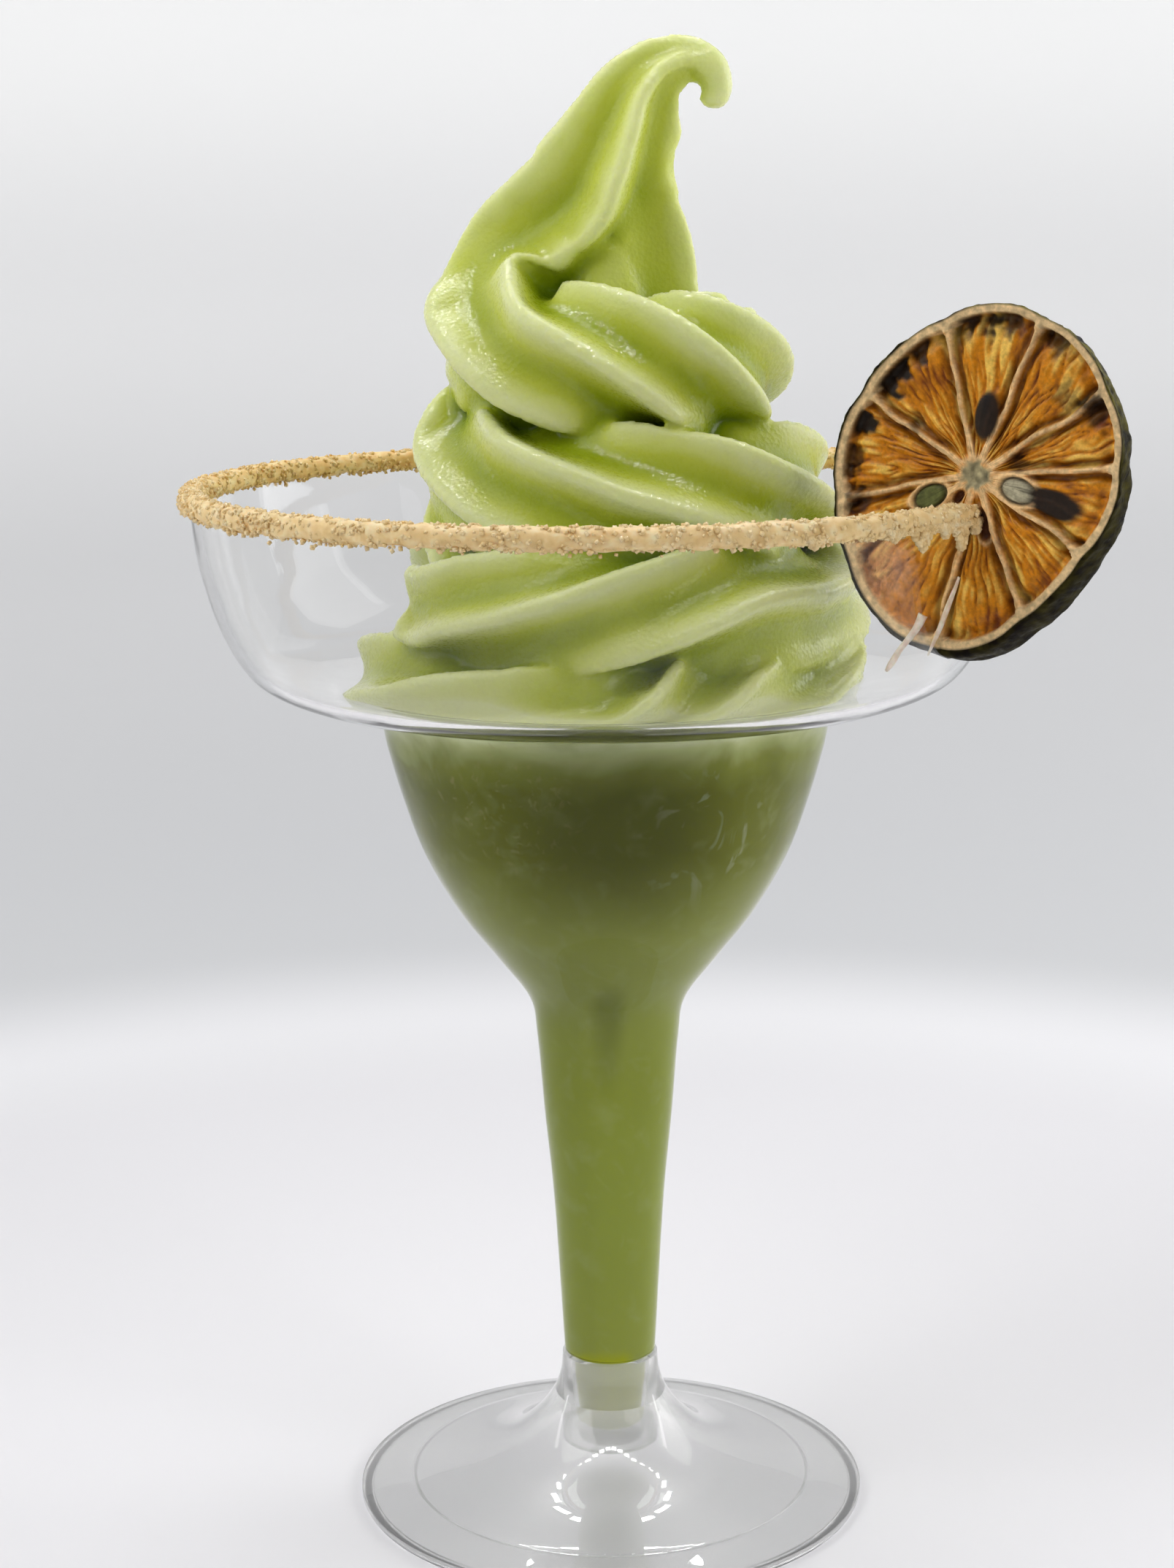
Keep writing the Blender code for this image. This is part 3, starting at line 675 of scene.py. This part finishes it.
# Painted shade and light: the colour darkens towards the bottom of the swirl and lightens towards the peak.
lower = add(
    tree,
    "MapRange",
    {
        "Value": add(tree, "SeparateXYZ", {"Vector": place}).outputs["Z"],
        "From Min": 0.125,
        "From Max": 0.195,
        "To Min": 0.78,
        "To Max": 1.07,
    },
)
toned = add(
    tree,
    "VectorMath",
    {0: ramp(tree, depth.outputs["Result"], tint), 3: lower.outputs["Result"]},
    operation="SCALE",
)
tree.links.new(toned.outputs["Vector"], shader.inputs["Base Color"])
frost = add(tree, "TexNoise", {"Vector": place, "Scale": 1800.0, "Detail": 3.0, "Roughness": 0.6})
ice = add(tree, "TexVoronoi", {"Vector": place, "Scale": 1500.0})
wet = add(
    tree,
    "MapRange",
    {"Value": frost.outputs["Fac"], "From Min": 0.35, "From Max": 0.7, "To Min": 0.22, "To Max": 0.4},
)
tree.links.new(wet.outputs["Result"], shader.inputs["Roughness"])
grain = add(tree, "Math", {0: frost.outputs["Fac"], 1: ice.outputs["Distance"]}, operation="ADD")
bump = add(tree, "Bump", {"Height": grain.outputs["Value"], "Strength": 0.45, "Distance": 0.00012})
for socket in ("Normal", "Coat Normal"):
    tree.links.new(bump.outputs["Normal"], shader.inputs[socket])
swirl.data.materials.append(frozen)
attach(swirl, "root")
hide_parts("swirl")


# Sugar crust. The lip was wetted and dipped in light brown sugar. A packed ring grips the lip, with loose
# crystals stuck all over it, and it is open where the lime slice is pushed on.
SLICE_BEARING = math.radians(-45)
SLICE_HALF_THICKNESS = 2.7
CRUST_SECTION = ((57.2, 145.6), (57.8, 145.5), (58.2, 146.1), (58.25, 147.1), (57.9, 147.9), (57.2, 148.25),
                 (56.2, 148.3), (55.3, 148.05), (54.8, 147.4), (54.8, 146.4), (55.1, 145.8), (55.6, 145.6),
                 (55.8, 147.6), (57.0, 147.6))
CRUST_OUTSIDE = 12
CRUST_STEPS = 700
CRYSTALS = 5000

rng = np.random.default_rng(7)


def near_slice(bearing):
    """How full the crust is: it thins out where it meets the front of the slice."""
    away = math.degrees((SLICE_BEARING + math.tau - bearing) % math.tau)
    return 0.5 + 0.5 * min(away / 5.0, 1.0)


opening = (SLICE_HALF_THICKNESS - 1.2) / LIP_RADIUS
bearings = np.linspace(opening, math.tau - opening, CRUST_STEPS) + SLICE_BEARING
crust_points = []
for bearing in bearings:
    for number, (radius, height) in enumerate(CRUST_SECTION):
        if number < CRUST_OUTSIDE:
            spot = Vector((math.cos(bearing) * 60, math.sin(bearing) * 60, number * 3.1))
            lump = noise.noise(spot * 0.16) * 0.5 + noise.noise(spot * 0.9) * 0.35
            radius += 0.7 * lump * (1 if radius > LIP_RADIUS - 0.8 else -1)
            height = 147.4 + (height - 147.4) * near_slice(bearing)
            height += noise.noise(spot * 0.5 + Vector((9, 0, 0))) * 0.35
        crust_points.append((radius * math.cos(bearing), radius * math.sin(bearing), height))
numbers = np.arange(len(crust_points)).reshape(CRUST_STEPS, len(CRUST_SECTION))
faces = tube_faces(numbers[::-1])
faces.append(numbers[0].tolist())
faces.append(numbers[-1][::-1].tolist())
crust = mesh_piece("sugar_crust", crust_points, faces)
crust.data.shade_smooth()

corners = np.array([(x, y, z) for x in (-1, 1) for y in (-1, 1) for z in (-1, 1)], float)
cube_sides = np.array([(0, 1, 3, 2), (4, 6, 7, 5), (0, 4, 5, 1), (2, 3, 7, 6), (0, 2, 6, 4), (1, 5, 7, 3)])
outline = np.array(CRUST_SECTION[:CRUST_OUTSIDE])
grain_points = []
grain_faces = []
for number in range(CRYSTALS):
    bearing = SLICE_BEARING + rng.uniform(opening, math.tau - opening)
    step = rng.uniform(0, CRUST_OUTSIDE - 1.001)
    start = int(step)
    radius, height = outline[start] + (step - start) * (outline[start + 1] - outline[start])
    out = np.array((radius - 56.5, height - 146.9))
    out /= np.linalg.norm(out)
    radius, height = np.array((radius, height)) + out * rng.uniform(-0.16, 0.1)
    if height < 145.9:
        height -= rng.exponential(0.16)
    height = 147.4 + (height - 147.4) * near_slice(bearing)
    size = rng.uniform(0.14, 0.28) * np.array((1, rng.uniform(0.7, 1.1), rng.uniform(0.7, 1.2)))
    turn = np.array(Matrix.Rotation(rng.uniform(0, 6.3), 3, Vector(rng.normal(size=3))))
    spot = np.array((radius * math.cos(bearing), radius * math.sin(bearing), height))
    grain_points.append(spot + (corners * size) @ turn.T)
    grain_faces.append(cube_sides + 8 * number)
flakes = ((2.5, 1.2, 1.6), (6.0, 2.6, 3.4), (9.5, 1.6, 1.5), (14.0, 2.6, 2.8), (19.0, 1.6, 1.2), (31.0, 1.4, 1.2))
for away, width, drop in flakes:
    for _ in range(260):
        down = rng.uniform(0, 1) ** 1.3
        across = (away + math.degrees(rng.uniform(-1, 1) * width * (1 - down) / LIP_RADIUS)) * math.pi / 180
        bearing = SLICE_BEARING - across
        radius = 58.0 + rng.normal(0, 0.12)
        spot = np.array((radius * math.cos(bearing), radius * math.sin(bearing), 146.3 - drop * down))
        turn = np.array(Matrix.Rotation(rng.uniform(0, 6.3), 3, Vector(rng.normal(size=3))))
        grain_points.append(spot + (corners * rng.uniform(0.18, 0.32)) @ turn.T)
        grain_faces.append(cube_sides + 8 * len(grain_faces))
crystals = mesh_piece("sugar_crystals", np.vstack(grain_points), np.vstack(grain_faces).tolist())
crystals.data.shade_smooth()


def sugar(name, rough, cloudy):
    """Moist light brown sugar, more golden at the back of the glass."""
    made, tree, shader = surface(
        name,
        {
            "Roughness": rough,
            "Subsurface Weight": cloudy,
            "Subsurface Radius": (1.0, 0.8, 0.5),
            "Subsurface Scale": 0.0005,
            "Specular IOR Level": 0.4,
        },
    )
    place = object_place(tree)
    back = add(tree, "SeparateXYZ", {"Vector": place}).outputs["Y"]
    golden = add(tree, "MapRange", {"Value": back, "From Min": -0.02, "From Max": 0.04})
    grains = add(tree, "TexNoise", {"Vector": place, "Scale": 700.0, "Detail": 3.0})
    front = ramp(tree, grains.outputs["Fac"], [(0.25, (0.76, 0.53, 0.23)), (0.5, (0.88, 0.65, 0.32)), (0.75, (0.95, 0.8, 0.5))])
    rear = ramp(tree, grains.outputs["Fac"], [(0.25, (0.78, 0.46, 0.13)), (0.5, (0.88, 0.6, 0.22)), (0.75, (0.95, 0.75, 0.4))])
    mixed = add(tree, "Mix", {"Factor": golden.outputs["Result"], "A": front, "B": rear}, data_type="RGBA")
    tree.links.new(mixed.outputs["Result"], shader.inputs["Base Color"])
    return made


crust.data.materials.append(sugar("packed_sugar", 0.5, 0.6))
crystals.data.materials.append(sugar("sugar_grains", 0.2, 0.0))
for piece in (crust, crystals):
    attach(piece, "root")
    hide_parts("sugar_rim")


# Lime slice. A round of lime dried until its peel is nearly black and its flesh amber. Peel, pith and the
# membranes stand proud of the shrunken flesh. The real slice is slit to its core and pushed down over the
# lip; here it is a closed round that the wall of the dish passes through.
CORE_DISTANCE, CORE_HEIGHT = 57.7, 151.8
SLICE_RADIUS = 20.9
SLICE_LOBES = ((1, 0.55, -170.0), (2, 2.1, 115.0), (3, 0.4, 41.0), (4, 0.4, -58.0))
MEMBRANES = (5, 32, 66, 104, 149, 190, 211, 254, 289, 327)
SPOKES = 440
FLESH_ROWS = 74
RIM_ROWS = 9
BURNT = (
    (-12.9, 13.2, 3.6, 1.0),
    (-9.0, 16.2, 2.8, 0.9),
    (-17.8, 6.8, 2.8, 1.0),
    (-18.8, 1.2, 2.6, 0.85),
    (-17.2, -4.8, 2.0, 0.7),
    (-1.0, 19.6, 2.6, 0.95),
    (4.6, 19.8, 2.0, 0.85),
    (-2.0, 17.2, 1.8, 0.6),
    (16.0, 9.0, 2.0, 0.85),
    (10.2, 17.6, 1.9, 0.8),
    (11.6, 10.4, 1.5, 0.55),
    (-8.5, 6.5, 1.2, 0.6),
    (5.5, 1.6, 1.2, 0.6),
)
# Flesh tones. The dark tone marks creases between juice sacs as painted shade, the pale one raised sacs as painted
# highlight; both also vary at random.
FLESH = np.array((0.6, 0.21, 0.003))
FLESH_DARK_AND_PAINTED_CREASE_SHADE = np.array((0.2, 0.045, 0.002))
FLESH_PALE_AND_PAINTED_HIGHLIGHT = np.array((0.95, 0.62, 0.12))
FLESH_RAW = np.array((0.56, 0.28, 0.14))
MEMBRANE = np.array((0.84, 0.55, 0.26))
PITH = np.array((0.72, 0.51, 0.26))
CORE_GREY = np.array((0.36, 0.31, 0.17))
CHAR = np.array((0.012, 0.006, 0.003))
PEEL_DARK = np.array((0.006, 0.004, 0.002))
PEEL_OLIVE = np.array((0.15, 0.13, 0.022))


def in_slice(across, up, depth):
    """A point of the slice: outwards and up from its core, and out of its front face."""
    outward = CORE_DISTANCE + across
    cosine, sine = math.cos(SLICE_BEARING), math.sin(SLICE_BEARING)
    return (outward * cosine + depth * sine, outward * sine - depth * cosine, CORE_HEIGHT + up)


def slice_radius(angle):
    """The slice's uneven edge, drawn in a little where the membranes meet it."""
    lobes = sum(size * math.cos(order * angle - math.radians(lean)) for order, size, lean in SLICE_LOBES)
    turns = [(math.degrees(angle) - side + 180) % 360 - 180 for side in MEMBRANES]
    return SLICE_RADIUS + lobes + 0.1 - 0.35 * sum(math.exp(-((turn / 6) ** 2)) for turn in turns)


def ease(value, low, high):
    """0 below low, 1 above high and smooth between."""
    share = min(max((value - low) / (high - low), 0.0), 1.0)
    return share * share * (3 - 2 * share)


def pip(across, up, middle, long, wide):
    """How far a point is from a pip's middle, where 1 is its outline. The pip points at the core."""
    lean = math.atan2(middle[1], middle[0])
    x, y = across - middle[0], up - middle[1]
    run = (x * math.cos(lean) + y * math.sin(lean)) / long
    side = (y * math.cos(lean) - x * math.sin(lean)) / wide
    return math.hypot(run, side)


def blend(colour, other, share):
    return colour + (other - colour) * share


def outline(angle, face):
    """The edge of a cut face. The knife went through at a slant, so the back face reaches further down."""
    back = max(0.0, -math.sin(angle + 0.25)) * (1.0 if face < 0 else 0.0)
    lifted = max(0.0, math.cos(angle - 0.95)) ** 1.5 * (1.0 if face < 0 else 0.0)
    return slice_radius(angle) - 0.35 + 2.1 * back ** 0.8 - 2.1 * lifted


def flesh_point(across, up, edge, face):
    """Depth under the flat face and colour of a point of the cut face."""
    radius = math.hypot(across, up)
    angle = math.degrees(math.atan2(up, across))
    inward = edge - radius
    bend = 5.0 * noise.noise(Vector((radius * 0.16, round(angle / 36) * 1.7, 3.0 * face)))
    turns = [(angle + bend - side + 180) % 360 - 180 for side in MEMBRANES]
    nearest = min(range(len(turns)), key=lambda index: abs(turns[index]))
    off = math.radians(abs(turns[nearest])) * radius
    cell = nearest + (0.5 if turns[nearest] > 0 else -0.5)
    fork = ease(inward, 3.2, 1.0) if inward < 3.2 else 0.0
    wave = 0.6 * noise.noise(Vector((radius * 0.3, cell * 3.1, angle * 0.05)))
    fan = math.radians(angle) * 12 + wave
    sacs = noise.noise(Vector((radius * 0.15, fan, 7.0 * face)))
    fine = noise.noise(Vector((radius * 0.4, fan * 2.6, 11.0 * face)))
    patch = noise.noise(Vector((across * 0.2, up * 0.2, 5.0 * face)))
    spots = noise.noise(Vector((across * 1.1, up * 1.1, 13.0 * face)))
    plump = math.sqrt(min(abs(sacs) * 3.2, 1.0))
    half_wall = 0.17 + 0.1 * spots + 0.35 * fork + 0.3 * max(0.0, 1 - radius / 7)
    flesh = ease(off, half_wall, half_wall + 0.3) * ease(radius, 2.0, 3.2) * ease(inward, 0.95, 1.5)
    groove = math.exp(-(((off - half_wall - 0.65) / 0.55) ** 2)) * ease(radius, 2.5, 6)
    hollow_rim = math.exp(-(((inward - 1.9) / 0.9) ** 2))
    sink = flesh * (0.75 + 0.4 * patch - 0.55 * plump - 0.2 * fine + 0.7 * groove + 0.7 * hollow_rim)
    # Painted shade and highlight: darker in the creases between sacs, paler on raised sacs, with random patches.
    tone = 0.25 + 0.75 * plump + 0.5 * fine + 0.6 * patch
    colour = blend(FLESH_DARK_AND_PAINTED_CREASE_SHADE, FLESH, ease(tone, -0.05, 0.7))
    colour = blend(colour, FLESH_PALE_AND_PAINTED_HIGHLIGHT, 0.85 * ease(tone, 0.75, 1.4))
    raw = math.hypot(across + 14, up + 12.5) + 2.5 * spots
    colour = blend(colour, FLESH_RAW * (0.8 + 0.5 * plump), 0.6 * (1 - ease(raw, 2.0, 6.5)))
    # Painted shade: darker in the grooves beside the membranes, and in patches in the sunken ring inside the pith.
    colour = colour * (1 - 0.62 * groove) * (1 - 0.45 * hollow_rim * ease(patch + spots, -0.4, 0.5))
    wall = blend(MEMBRANE, FLESH, 0.45 * ease(spots, 0.0, 0.5)) * (0.9 + 0.5 * fine)
    colour = blend(wall, colour, flesh)
    if radius < 3.0:
        colour = blend(CORE_GREY * (0.9 + 0.9 * spots), colour, ease(radius + spots, 1.5, 2.3))
        sink += 0.25 * (1 - ease(radius, 0.8, 2.0))
    pith_width = 0.95 + 0.5 * fork * math.exp(-((turns[nearest] / 9) ** 2))
    colour = blend(PITH * (0.95 + 0.35 * spots), colour, ease(inward, pith_width, pith_width + 0.3))
    for x, y, size, strength in BURNT:
        near = math.hypot(across - x, up - y) / size + 0.9 * sacs + 0.5 * spots
        burn = strength * (1 - ease(near, 0.6, 1.25)) * ease(inward, 0.9, 1.4)
        colour = blend(colour, CHAR, burn)
        sink += 0.4 * burn * flesh
    if face > 0:
        sink, colour = front_pips(across, up, sink, colour, sacs, fine)
    return sink, colour


def front_pips(across, up, sink, colour, strands, fine):
    """The pips and pip hollows of the front face."""
    dark = pip(across, up, (1.3, 7.6), 3.3, 1.75)
    if dark < 1.25:
        colour = colour + (CHAR * (1.6 + 2 * strands) - colour) * (1 - ease(dark, 0.8, 1.12))
        sink += (0.35 - 0.5 * math.sqrt(max(0, 1 - dark * dark)) - sink) * (1 - ease(dark, 0.9, 1.2))
    for middle, long, wide, inside in (
        ((-6.5, -3.0), 2.9, 1.7, np.array((0.12, 0.13, 0.035))),
        ((5.7, -1.7), 2.9, 1.9, np.array((0.42, 0.38, 0.25))),
    ):
        away = pip(across, up, middle, long, wide)
        if away < 1.35:
            rim = math.exp(-(((away - 1.05) / 0.14) ** 2))
            groove = math.exp(-(((away - 0.82) / 0.09) ** 2))
            colour = colour + (inside * (0.9 + 0.6 * fine) - colour) * (1 - ease(away, 0.8, 0.95))
            # Painted shade in the groove round each pip.
            colour = colour * (1 - 0.75 * groove)
            colour = colour + (MEMBRANE * 1.1 - colour) * rim
            sink = sink * ease(away, 0.95, 1.3) + (1 - ease(away, 0.95, 1.3)) * (0.15 + 0.5 * groove - 0.2 * rim)
    charred = pip(across, up, (10.8, -3.2), 3.9, 1.9) + 0.35 * strands
    if charred < 1.3:
        colour = colour + (CHAR * (1.4 + 3 * max(strands, 0)) - colour) * (1 - ease(charred, 0.75, 1.15))
        sink += (0.7 - sink) * 0.7 * (1 - ease(charred, 0.8, 1.2))
    for middle, long, wide in (((-2.6, -2.9), 1.3, 0.7), ((0.9, -6.2), 2.3, 1.0)):
        away = pip(across, up, middle, long, wide)
        if away < 1.3:
            colour = colour + (np.array((0.11, 0.035, 0.012)) - colour) * (1 - ease(away, 0.7, 1.1))
            colour = colour + (MEMBRANE - colour) * 0.8 * math.exp(-(((away - 1.1) / 0.12) ** 2))
            sink += (0.9 * (1 - ease(away, 0.6, 1.1)) - sink * 0.3) * (1 - ease(away, 0.8, 1.2))
    return sink, colour


def peel_colour(angle, lean):
    """Olive at the top and upper right, nearly black elsewhere."""
    spot = Vector((math.cos(math.radians(angle)) * 9, math.sin(math.radians(angle)) * 9, lean * 1.5))
    mottle = noise.noise(spot) + 0.6 * noise.noise(spot * 4)
    olive = math.exp(-(((angle - 75) / 48) ** 2)) + 0.12
    return blend(PEEL_DARK, PEEL_OLIVE, min(max(olive * (0.7 + 1.5 * mottle), 0.0), 1.0))


shares = np.concatenate([np.linspace(0, 0.9, FLESH_ROWS - 14, endpoint=False)[1:], np.linspace(0.9, 0.985, 15)])
angles = np.linspace(0, math.tau, SPOKES, endpoint=False)
slice_points = []
slice_colours = []


def add_face(face):
    """The rows of one cut face, from its core out, and the index of its core point."""
    core = len(slice_points)
    sink, colour = flesh_point(0.01, 0.01, SLICE_RADIUS, face)
    slice_points.append(in_slice(0, 0, face * (SLICE_HALF_THICKNESS - 0.25 - sink)))
    slice_colours.append(colour)
    rows = []
    for share in shares:
        rows.append(range(len(slice_points), len(slice_points) + SPOKES))
        for angle in angles:
            edge = outline(angle, face)
            across, up = edge * share * math.cos(angle), edge * share * math.sin(angle)
            sink, colour = flesh_point(across, up, edge, face)
            slice_points.append(in_slice(across, up, face * (SLICE_HALF_THICKNESS - 0.25 - sink)))
            slice_colours.append(colour)
    return core, [list(row) for row in rows]


front_core, front_rows = add_face(1)
back_core, back_rows = add_face(-1)
rim_rows = []
for number in range(RIM_ROWS):
    lean = math.pi / 2 - math.pi * number / (RIM_ROWS - 1)
    share = number / (RIM_ROWS - 1)
    rim_rows.append(list(range(len(slice_points), len(slice_points) + SPOKES)))
    for angle in angles:
        degrees = (math.degrees(angle) + 180) % 360 - 180
        round_trip = Vector((math.cos(angle), math.sin(angle), 0)) * 6
        wrinkle = noise.noise(round_trip + Vector((0, 0, lean * 0.8)))
        wrinkle += 0.6 * noise.noise(round_trip * 3.5 + Vector((0, 0, lean * 2 + 9)))
        edge = outline(angle, 1) * (1 - share) + outline(angle, -1) * share
        edge += 0.35 * math.cos(lean) ** 0.5 * (1 + wrinkle) if abs(lean) < 1.57 else 0
        depth = math.sin(lean) * (SLICE_HALF_THICKNESS - 0.1 + 0.1 * wrinkle)
        slice_points.append(in_slice(edge * math.cos(angle), edge * math.sin(angle), depth))
        slice_colours.append(peel_colour(degrees, lean))
rows = front_rows + rim_rows + back_rows[::-1]
faces = tube_faces(rows)
for side in range(SPOKES):
    after = (side + 1) % SPOKES
    faces.append((front_core, front_rows[0][after], front_rows[0][side])[::-1])
    faces.append((back_core, back_rows[0][side], back_rows[0][after])[::-1])
slice_piece = mesh_piece("dried_lime", slice_points, faces)
paint = slice_piece.data.color_attributes.new("paint", "FLOAT_COLOR", "POINT")
values = np.ones((len(slice_points), 4), np.float32)
values[:, :3] = np.clip(np.array(slice_colours), 0.003, 1)
paint.data.foreach_set("color", values.ravel())
is_peel = np.zeros(len(faces), np.int32)
is_peel[len(front_rows) * SPOKES:(len(front_rows) + RIM_ROWS - 1) * SPOKES] = 1
slice_piece.data.polygons.foreach_set("material_index", is_peel)
bpy.ops.object.select_all(action="DESELECT")
slice_piece.select_set(True)
bpy.context.view_layer.objects.active = slice_piece
bpy.ops.object.mode_set(mode="EDIT")
bpy.ops.mesh.select_all(action="SELECT")
bpy.ops.mesh.normals_make_consistent(inside=False)
bpy.ops.object.mode_set(mode="OBJECT")

slice_piece.data.shade_smooth()


def dried_fruit(name, gloss):
    """The painted colours with fine fibres over them."""
    made, tree, shader = surface(
        name,
        {
            "Specular IOR Level": gloss,
        },
    )
    painted = add(tree, "VertexColor", {}, layer_name="paint").outputs["Color"]
    fibres = add(tree, "TexNoise", {"Vector": object_place(tree), "Scale": 1500.0, "Detail": 4.0, "Roughness": 0.6})
    fibres = fibres.outputs["Fac"]
    light = add(tree, "MapRange", {"Value": fibres, "From Min": 0.3, "From Max": 0.7, "To Min": 0.75, "To Max": 1.3})
    toned = add(tree, "VectorMath", {0: painted, 3: light.outputs["Result"]}, operation="SCALE")
    tree.links.new(toned.outputs["Vector"], shader.inputs["Base Color"])
    rough = add(tree, "MapRange", {"Value": fibres, "From Min": 0.35, "From Max": 0.7, "To Min": 0.32, "To Max": 0.65})
    tree.links.new(rough.outputs["Result"], shader.inputs["Roughness"])
    bump = add(tree, "Bump", {"Height": fibres, "Strength": 0.5, "Distance": 0.00015})
    tree.links.new(bump.outputs["Normal"], shader.inputs["Normal"])
    return made


slice_piece.data.materials.append(dried_fruit("dried_flesh", 0.22))
slice_piece.data.materials.append(dried_fruit("dried_peel", 0.02))


def fibre(name, points):
    """A torn membrane or fibre as a tapered tube through (across, up, depth, thickness) points."""
    bpy.ops.object.select_all(action="DESELECT")
    bpy.ops.curve.primitive_bezier_curve_add()
    made = bpy.context.object
    made.name = name
    made.data.splines.clear()
    path = made.data.splines.new("POLY")
    line = smooth_line(points, 6)
    path.points.add(len(line) - 1)
    for point, (across, up, depth, thick) in zip(path.points, line):
        point.co = (*[value * MM for value in in_slice(across, up, depth)], 1)
        point.radius = thick
    made.data.bevel_depth = 0.5 * MM
    made.data.bevel_resolution = 3
    made.data.use_fill_caps = True
    bpy.ops.object.convert(target="MESH")
    bpy.context.object.data.shade_smooth()
    return bpy.context.object


torn, tree, shader = surface("torn_membrane", {"Roughness": 0.45, "Subsurface Weight": 0.4, "Subsurface Scale": 0.001})
place = object_place(tree)
grain = add(tree, "TexNoise", {"Vector": place, "Scale": 900.0, "Detail": 3.0})
tint = ramp(tree, grain.outputs["Fac"], [(0.35, (0.66, 0.54, 0.4)), (0.65, (0.85, 0.78, 0.66))])
tree.links.new(tint, shader.inputs["Base Color"])
fibres = [
    fibre("torn_strip", [(-7.6, -18.2, 2.2, 1.3), (-8.5, -20.2, 2.5, 1.0), (-10.4, -22.8, 2.7, 0.8), (-11.6, -24.6, 2.6, 0.9), (-12.6, -25.9, 2.4, 0.5)]),
    fibre("torn_tip", [(-2.6, -13.0, 2.2, 0.6), (-3.9, -16.6, 2.7, 0.8), (-5.2, -20.0, 2.9, 0.6), (-6.7, -23.2, 2.8, 0.25)]),
]
for piece in fibres:
    piece.data.materials.append(torn)
for piece in [slice_piece] + fibres:
    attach(piece, "root")
    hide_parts("lime_slice")
